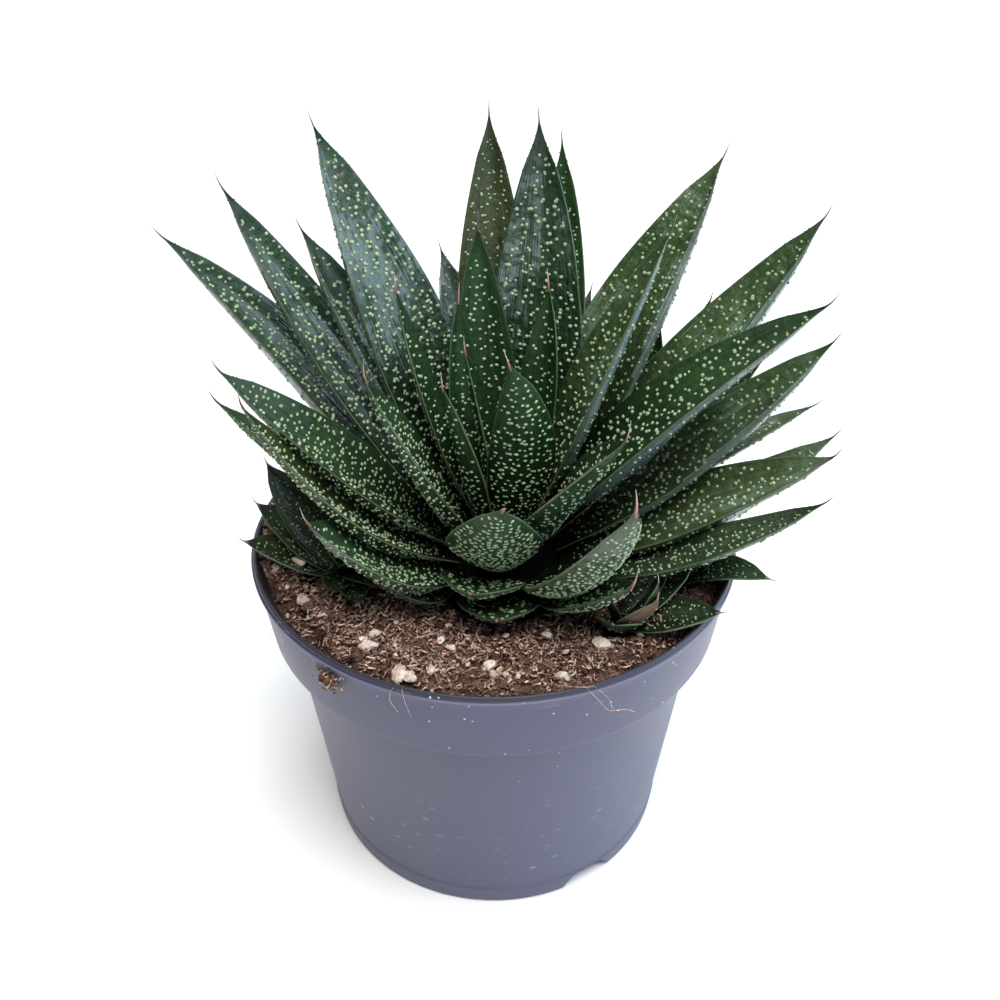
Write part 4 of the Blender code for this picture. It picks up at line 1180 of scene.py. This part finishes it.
def soil_height(x, y):
    """The frame's lumpy soil surface, which dips round the crown and towards the wall."""
    dip = min(max((from_crown(x, y) - CROWN_RADIUS - 2.0) / 14.0, 0.0), 1.0)
    edge = min(max((56.0 - math.hypot(x, y)) / 12.0, 0.0), 1.0)
    level = SOIL_DIP_HEIGHT + (SOIL_HEIGHT - SOIL_DIP_HEIGHT) * dip
    level = min(level, SOIL_EDGE_HEIGHT + (SOIL_HEIGHT - SOIL_EDGE_HEIGHT) * edge)
    lump = noise.noise(Vector((x, y, 3.0)) * 0.17) + 0.6 * noise.noise(Vector((x, y, 9.0)) * 0.41)
    return level + SOIL_LUMP * lump * dip


def crumbly(x, y):
    """Fine relief on the soil: clods of a few millimetres, cracks and crumbs."""
    clod = noise.noise(Vector((x, y, 5.0)) * 0.33)
    ridge = 1 - abs(noise.noise(Vector((x, y, 2.0)) * 0.8)) * 2
    fine = noise.noise(Vector((x, y, 7.0)) * 1.9)
    return 1.5 * clod + 1.1 * ridge + 0.9 * fine - 1.0


def bearing(x, y):
    return math.degrees(math.atan2(y, x)) % 360


def from_crown(x, y):
    return math.hypot(x - CROWN_CENTRE[0], y - CROWN_CENTRE[1])


def window(value, first, full, last, gone):
    """Share that rises from first to full and falls again from last to gone."""
    return float(smooth_step(first, full, value)) * (1 - float(smooth_step(last, gone, value)))


def left_heap(x, y):
    """Share of the heap that leans on the wall at the plant's left."""
    return window(bearing(x, y), 136.0, 158.0, 194.0, 204.0)


def brim(x, y):
    """Extra height of the loose soil towards the rim: a heap on the left, then a crack along the wall."""
    radius = math.hypot(x, y)
    heap = left_heap(x, y)
    rise = (BRIM_RISE + HEAP_RISE * heap) * float(smooth_step(44.0, 50.5, radius))
    rise *= 1 - float(smooth_step(53.2 + 4.3 * heap, 54.8 + 3.6 * heap, radius))
    gap = window(bearing(x, y), 202.0, 208.0, 219.0, 228.0)
    return rise - GAP_DROP * gap * float(smooth_step(51.0, 52.6, radius))


def make_soil(peat, strand, chip):
    draw = np.random.default_rng(SOIL_SEED)
    for name, piece, skin in (("soil_bed", soil_bed(), peat), ("soil_crumbs", soil_crumbs(draw), peat),
                              ("soil_strands", soil_strands(draw), strand),
                              ("perlite_chips", perlite_chips(draw), chip)):
        declare(piece.build(name, [skin]), "soil")


def soil_bed(segments=330, rings=82):
    """The crumbly top with the plain walls that reach down inside the pot and to the crown."""
    inner, outer = CROWN_RADIUS + GAP, SOIL_REACH
    turn = circle(segments)
    rows = []
    for share in (index / (rings - 1) for index in range(rings)):
        radius = outer + (inner - outer) * share
        centre = np.array(CROWN_CENTRE) * share
        calm = min(share * 8, 1.0) * min((1 - share) * 8, 1.0)
        ring = []
        for angle in turn:
            reach = radius + 0.8 * left_heap(math.cos(angle), math.sin(angle)) * max(0.0, 1 - share * 12)
            x = centre[0] + reach * math.cos(angle)
            y = centre[1] + reach * math.sin(angle)
            ring.append((x, y, soil_height(x, y) + brim(x, y) - 0.9 + crumbly(x, y) * (0.35 + 0.65 * calm)))
        rows.append(ring)
    step = POT_HEIGHT - COLLAR_HEIGHT
    bottom = FLOOR_RISE + WALL + GAP
    wall = [(FOOT_RADIUS - WALL + 0.3 - GAP, bottom), (WALL_TOP_RADIUS - WALL - GAP, step - 1.5),
            (COLLAR_FOOT_RADIUS - WALL - GAP, step + 2.2)]
    lower = [[(r * math.cos(a), r * math.sin(a), z) for a in turn] for r, z in wall]
    hole = [(CROWN_CENTRE[0] + inner * math.cos(a), CROWN_CENTRE[1] + inner * math.sin(a), CROWN_BASE - GAP)
            for a in turn]
    every = lower + rows + [hole]
    points = np.array(every).reshape(-1, 3)
    piece = Piece()
    piece.add(points, grid_faces(len(every), segments, True), 0, points[:, :2] * SOIL_MAP)
    for ring, middle, turned in ((lower[0], (0, 0, bottom), True),
                                 (hole, (*CROWN_CENTRE, CROWN_BASE - GAP), False)):
        add_cap(piece, ring, middle, 0, np.array([*ring, middle])[:, :2] * SOIL_MAP, turned)
    return piece


def soil_crumbs(draw):
    piece = Piece()
    for _ in range(CRUMB_COUNT):
        x, y = soil_spot(draw)
        size = draw.uniform(0.5, 1.3) if draw.random() < 0.85 else draw.uniform(1.3, 2.2)
        add_rock(piece, draw, on_soil(x, y, -0.1 * size), size, (1.0, 0.9, 0.8), 0.6, 1)
    for x, y, size in CLODS:
        add_rock(piece, draw, on_soil(x, y, -0.1 * size), size * 0.85, (1.1, 0.95, 0.85), 0.7, 2)
    add_rock(piece, draw, on_collar(0.1, 0.3), 2.0, (1.0, 0.8, 1.0), 0.6, 2)
    return piece


def soil_strands(draw):
    piece = Piece()
    add_strands(piece, draw, STRAND_COUNT)
    for _ in range(RIM_CLUMP_STRANDS):
        x, y = RIM_CLUMP[0] + draw.normal(0, 1.6), RIM_CLUMP[1] + draw.normal(0, 1.2)
        out = RIM_CLUMP_RADIUS + draw.uniform(-0.3, 1.0)
        x, y = np.array((x, y)) / math.hypot(x, y) * out
        add_strand(piece, draw, np.array((x, y, RIM_CLUMP[2] + draw.normal(0, 1.5))), draw.uniform(0.9, 2.1),
                   draw.uniform(0.15, 0.30), draw.random() * 0.8)
    for path, thickness in ROOT_FIBRES:
        add_tube(piece, smooth_path(path), thickness, 5, 0.72)
    return piece


def perlite_chips(draw):
    piece = Piece()
    for x, y, size in CHIPS:
        add_rock(piece, draw, on_soil(x, y, 0.55 * size), size, (1.3, 0.9, 0.7), 0.10, 2)
    for _ in range(SMALL_CHIP_COUNT):
        x, y = soil_spot(draw)
        size = draw.uniform(0.4, 1.0)
        add_rock(piece, draw, on_soil(x, y, 0.5 * size), size, (1.2, 0.95, 0.8), 0.34, 1)
    add_rock(piece, draw, on_collar(0.4, -1.3), 1.2, (1.2, 0.9, 0.8), 0.3, 2)
    return piece


def on_soil(x, y, lift):
    return x, y, top_of_soil(x, y) + lift


def on_collar(out, lift):
    """Middle of the tuft that has stuck to the collar, moved outwards and upwards."""
    return (*unit(np.array(RIM_CLUMP[:2])) * (RIM_CLUMP_RADIUS + out), RIM_CLUMP[2] + lift)


def top_of_soil(x, y):
    return soil_height(x, y) + brim(x, y) - 0.5 + crumbly(x, y) * 0.8


def smooth_path(points, cuts=5):
    """Catmull-Rom curve through a few points."""
    points = [np.array(point, dtype=float) for point in points]
    points = [2 * points[0] - points[1]] + points + [2 * points[-1] - points[-2]]
    out = []
    for a, b, c, d in zip(points, points[1:], points[2:], points[3:]):
        for k in range(cuts):
            t = k / cuts
            out.append(0.5 * (2 * b + (c - a) * t + (2 * a - 5 * b + 4 * c - d) * t ** 2
                              + (3 * b - a - 3 * c + d) * t ** 3))
    return out + [points[-2]]


def soil_spot(draw):
    """A place on open soil, clear of the crown and the offsets' stems."""
    while True:
        angle, radius = draw.uniform(0, math.tau), STREWN_REACH * math.sqrt(draw.uniform(0.10, 1.0))
        x, y = radius * math.cos(angle), radius * math.sin(angle)
        clear = from_crown(x, y) >= CROWN_RADIUS + 3.0
        clear = clear and all(math.hypot(x - ox, y - oy) > OFFSET_RADIUS + 1.0
                              for (ox, oy), _ in OFFSETS.values())
        if clear and radius < 55.4 + 2.0 * left_heap(x, y):
            return x, y


@cache
def icosphere(level):
    work = bmesh.new()
    bmesh.ops.create_icosphere(work, subdivisions=level + 1, radius=1.0)
    points = np.array([tuple(vertex.co) for vertex in work.verts])
    faces = np.array([[vertex.index for vertex in face.verts] for face in work.faces])
    work.free()
    return points, faces


def add_rock(piece, draw, place, size, stretch, rough, level):
    """An irregular angular lump: a sphere cut by a few random planes and roughened."""
    sphere, faces = icosphere(level)
    reach = np.ones(len(sphere))
    for _ in range(9):
        axis = unit(draw.normal(0, 1, 3))
        cut = draw.uniform(0.50, 0.90)
        along = sphere @ axis
        reach = np.where(along > cut, np.minimum(reach, cut / np.maximum(along, 1e-6)), reach)
    shift = draw.uniform(0, 60, 3)
    bumps = np.array([noise.noise(Vector(point * 2.3 + shift)) for point in sphere])
    points = sphere * (reach * (1 + rough * bumps))[:, None] * np.array(stretch) * size
    turn, tilt = draw.uniform(0, math.tau), draw.normal(0, 0.35)
    spin = np.array(((math.cos(turn), -math.sin(turn), 0), (math.sin(turn), math.cos(turn), 0), (0, 0, 1)))
    lean = np.array(((1, 0, 0), (0, math.cos(tilt), -math.sin(tilt)), (0, math.sin(tilt), math.cos(tilt))))
    points = points @ lean.T @ spin.T + np.array(place)
    piece.add(points, faces, 0, points[:, :2] * SOIL_MAP)


def add_strands(piece, draw, number):
    """Short dry fibres, each a pointed three-sided rod, strewn over the open soil."""
    spots = np.array([soil_spot(draw) for _ in range(number)])
    level = np.array([top_of_soil(x, y) for x, y in spots]) + draw.uniform(-0.35, 1.05, number)
    centre = np.concatenate([spots, level[:, None]], axis=1)
    length = draw.uniform(1.1, 2.8, number) * np.where(draw.random(number) < 0.05, 1.7, 1.0)
    thick = draw.uniform(0.19, 0.38, number)
    share = np.array((-1.0, -0.62, 0.0, 0.62, 1.0))
    angle = draw.uniform(0, math.tau, number)[:, None] + draw.normal(0, 0.7, number)[:, None] * share
    rise = np.broadcast_to(draw.normal(0, 0.42, number)[:, None], angle.shape)
    ahead = np.stack([np.cos(angle), np.sin(angle), rise], axis=-1)
    path = centre[:, None] + ahead * (share[None] * length[:, None] / 2)[:, :, None]
    right = np.stack([-np.sin(angle), np.cos(angle), np.zeros_like(angle)], axis=-1)[:, 1:4]
    around = np.radians((90.0, 210.0, 330.0))
    size = thick[:, None] * np.array((0.8, 1.0, 0.7))
    wide, high = (wave(around)[None, None] * size[:, :, None] for wave in (np.cos, np.sin))
    ring = (path[:, 1:4, None] + right[:, :, None] * wide[..., None]
            + np.array((0, 0, 1.0)) * high[..., None])
    points = np.concatenate([path[:, :1], ring.reshape(number, 9, 3), path[:, 4:]], axis=1)
    faces = []
    for k in range(3):
        n = (k + 1) % 3
        faces += [(0, 1 + n, 1 + k), (10, 7 + k, 7 + n)]
        for first in (1, 4):
            faces += [(first + k, first + n, first + 3 + n), (first + k, first + 3 + n, first + 3 + k)]
    tint = draw.random(number)
    places = np.stack([np.repeat(tint, 11), np.tile(np.linspace(0, 1, 11), number)], axis=-1)
    add_copies(piece, points, faces, 0, places)


def add_strand(piece, draw, start, length, thickness, tint, rise=0.9, rows=6):
    """A curled peat fibre."""
    heading, turning = draw.uniform(0, math.tau), draw.normal(0, 2.2)
    share = np.linspace(0, 1, rows)
    angle = heading + turning * share
    ahead = np.stack([np.cos(angle), np.sin(angle), draw.normal(0, rise) * np.cos(share * 3)], axis=-1)
    points = start + np.concatenate([np.zeros((1, 3)), np.cumsum(ahead[:-1], axis=0)]) * length / (rows - 1)
    add_tube(piece, points, thickness * (1 - 0.75 * np.abs(share * 2 - 1) ** 2), 4, tint)


def add_tube(piece, path, radius, sides, tint):
    """A thin round tube along a path of points, closed at both ends."""
    path = np.asarray(path, dtype=float)
    ahead = unit(np.gradient(path, axis=0))
    right = unit(np.cross(ahead, np.array((0.12, 0.2, 0.97))))
    up = np.cross(right, ahead)
    turn = circle(sides)
    size = np.broadcast_to(radius, (len(path),))[:, None, None]
    ring = (path[:, None] + right[:, None] * np.cos(turn)[None, :, None] * size
            + up[:, None] * np.sin(turn)[None, :, None] * size)
    places = np.stack([np.full(len(path) * sides, tint), np.repeat(np.linspace(0, 1, len(path)), sides)], -1)
    piece.add(ring.reshape(-1, 3), grid_faces(len(path), sides, True), 0, places)
    for index in (0, len(path) - 1):
        add_cap(piece, ring[index], path[index], 0, (tint, 0.5), index == 0)


# ------------------------------------------------------------------ stage, lights and camera
FLOOR_HALF = 4


def make_stage(skin):
    mesh = bpy.data.meshes.new("floor")
    corners = [(x * FLOOR_HALF, y * FLOOR_HALF, 0) for x, y in ((-1, -1), (1, -1), (1, 1), (-1, 1))]
    mesh.from_pydata(corners, [], [(0, 1, 2, 3)])
    mesh.materials.append(skin)
    placed("floor", mesh)


def area_light(name, place, aim, size, energy, colour):
    light = bpy.data.lights.new(name, "AREA")
    light.shape = "RECTANGLE"
    light.size, light.size_y = size
    light.energy = energy
    light.color = colour
    made = placed(name, light)
    made.location = place
    made.rotation_euler = (Vector(aim) - Vector(place)).to_track_quat("-Z", "Y").to_euler()


# Name, place, aim, size, power and colour of each area light; strength of the white surroundings.
LIGHTS = (
    ("window_right", (1.35, 0.25, 0.58), (0, 0, 0.12), (2.7, 1.2), 32, (0.66, 0.84, 1.0)),
    ("softbox_top", (0.12, -0.45, 1.5), (0, 0, 0.1), (0.9, 0.9), 29, (1.0, 0.985, 0.96)),
    ("fill_front", (0.5, -1.4, 0.45), (0, 0, 0.08), (1.2, 0.5), 4.5, (0.80, 0.90, 1.0)),
    ("backdrop", (0.0, 1.3, 1.3), (0, 1.0, 0), (2.4, 1.2), 18, (1.0, 1.0, 1.0)),
)
SURROUNDINGS = 0.08


def make_lights():
    for light in LIGHTS:
        area_light(*light)
    world = bpy.context.scene.world or bpy.data.worlds.new("studio")
    bpy.context.scene.world = world
    world.use_nodes = True
    back = world.node_tree.nodes.get("Background")
    back.inputs["Color"].default_value = (1.0, 1.0, 1.0, 1.0)
    back.inputs["Strength"].default_value = SURROUNDINGS


# The photo's camera: lens on a 36 mm sensor, place and viewing direction.
LENS, SENSOR = 39.42, 36.0
CAMERA_PLACE = (0.0, -0.2204, 0.2518)
CAMERA_AHEAD = (0.0057, 0.8176, -0.5758)


def make_camera():
    data = bpy.data.cameras.new("camera")
    data.lens = LENS
    data.sensor_width = SENSOR
    data.clip_start = 0.01
    camera = placed("camera", data)
    camera.location = CAMERA_PLACE
    camera.rotation_euler = Vector(CAMERA_AHEAD).to_track_quat("-Z", "Y").to_euler()
    bpy.context.scene.camera = camera


# Skins of the leaves: name, dark and light green, gloss from smooth to rough, coat, then shine,
# relief in metres, the coat's index and painted sheen streaks where they differ from the usual.
LEAF_SKINS = {
    "sheen": ("leaf_sheen", (0.009, 0.031, 0.012), (0.017, 0.052, 0.022),
              0.28, 0.48, 1.0, 0.25, 0.0030, 1.70),
    "gloss": ("leaf_gloss", (0.009, 0.031, 0.012), (0.017, 0.052, 0.022),
              0.30, 0.50, 0.75, 0.25, 0.0034, 1.58),
    "satin": ("leaf_satin", (0.028, 0.060, 0.018), (0.060, 0.102, 0.034),
              0.30, 0.48, 0.55, 0.35, 0.0018, 1.5, 0.10),
    # The band and flank skins are pale blue-grey: painted sheen on the leaves' near flanks.
    "painted_sheen_band": ("leaf_band", (0.060, 0.092, 0.086), (0.110, 0.156, 0.150), 0.26, 0.42, 1.0, 0.4, 0.0014, 1.6),
    "flank": ("leaf_flank", (0.130, 0.185, 0.185), (0.240, 0.325, 0.320), 0.26, 0.42, 1.0, 0.4, 0.0014, 1.6),
    "deep": ("leaf_deep", (0.008, 0.028, 0.008), (0.015, 0.050, 0.012), 0.38, 0.56, 0.05, 0.25),
    "front": ("leaf_front_skin", (0.014, 0.036, 0.014), (0.030, 0.066, 0.026), 0.32, 0.52, 0.12),
    "young": ("leaf_young_skin", (0.008, 0.030, 0.008), (0.015, 0.052, 0.012), 0.36, 0.55, 0.05),
    "brown": ("leaf_brown", (0.018, 0.030, 0.009), (0.038, 0.048, 0.016), 0.34, 0.50, 0.10),
    "olive": ("leaf_olive", (0.034, 0.060, 0.020), (0.068, 0.098, 0.040),
              0.26, 0.44, 0.5, 0.35, 0.0016, 1.5, 0.08),
    "frost": ("leaf_frost", (0.026, 0.050, 0.022), (0.058, 0.090, 0.052), 0.26, 0.44, 0.6, 0.35, 0.0022),
    "offset": ("leaf_offset", (0.009, 0.022, 0.007), (0.022, 0.036, 0.013), 0.36, 0.54, 0.12),
    "dry": ("leaf_dry", (0.11, 0.062, 0.045), (0.24, 0.145, 0.110), 0.65, 0.85, 0.0, 0.06),
    # Crown skin: near-black painted shade on the crowns' domes.
    "shade": ("crown_skin", (0.004, 0.006, 0.003), (0.012, 0.014, 0.008), 0.80, 0.95, 0.0, 0.05),
    "pale": ("leaf_heart", (0.030, 0.050, 0.018), (0.050, 0.080, 0.030), 0.40, 0.60, 0.1),
}


def main():
    skins = {key: leaf_skin(*values) for key, values in LEAF_SKINS.items()}
    stud = stud_skin("tubercle", (0.032, 0.078, 0.028), (0.34, 0.43, 0.27))
    margin = margin_skin()
    awns = {
        "pink": awn_skin("bristle_pink", (0.20, 0.065, 0.055), (0.42, 0.22, 0.20), (0.62, 0.55, 0.50)),
        "brown": awn_skin("bristle_brown", (0.035, 0.035, 0.025), (0.09, 0.07, 0.06), (0.30, 0.27, 0.25)),
    }
    make_rosette(skins, stud, margin, awns)
    make_offsets(skins, stud, margin, awns)
    peat = peat_skin("peat", ((0.036, 0.018, 0.012), (0.125, 0.068, 0.048), (0.32, 0.190, 0.142)))
    strand = peat_skin("peat_strands", ((0.14, 0.074, 0.052), (0.40, 0.236, 0.178), (0.64, 0.430, 0.340),
                                        (0.82, 0.630, 0.530)), 700.0, True)
    make_soil(peat, strand, chip_skin())
    make_pot(pot_skin())
    make_stage(floor_skin())
    make_lights()
    make_camera()
    bpy.context.scene.view_settings.view_transform = "Standard"


main()
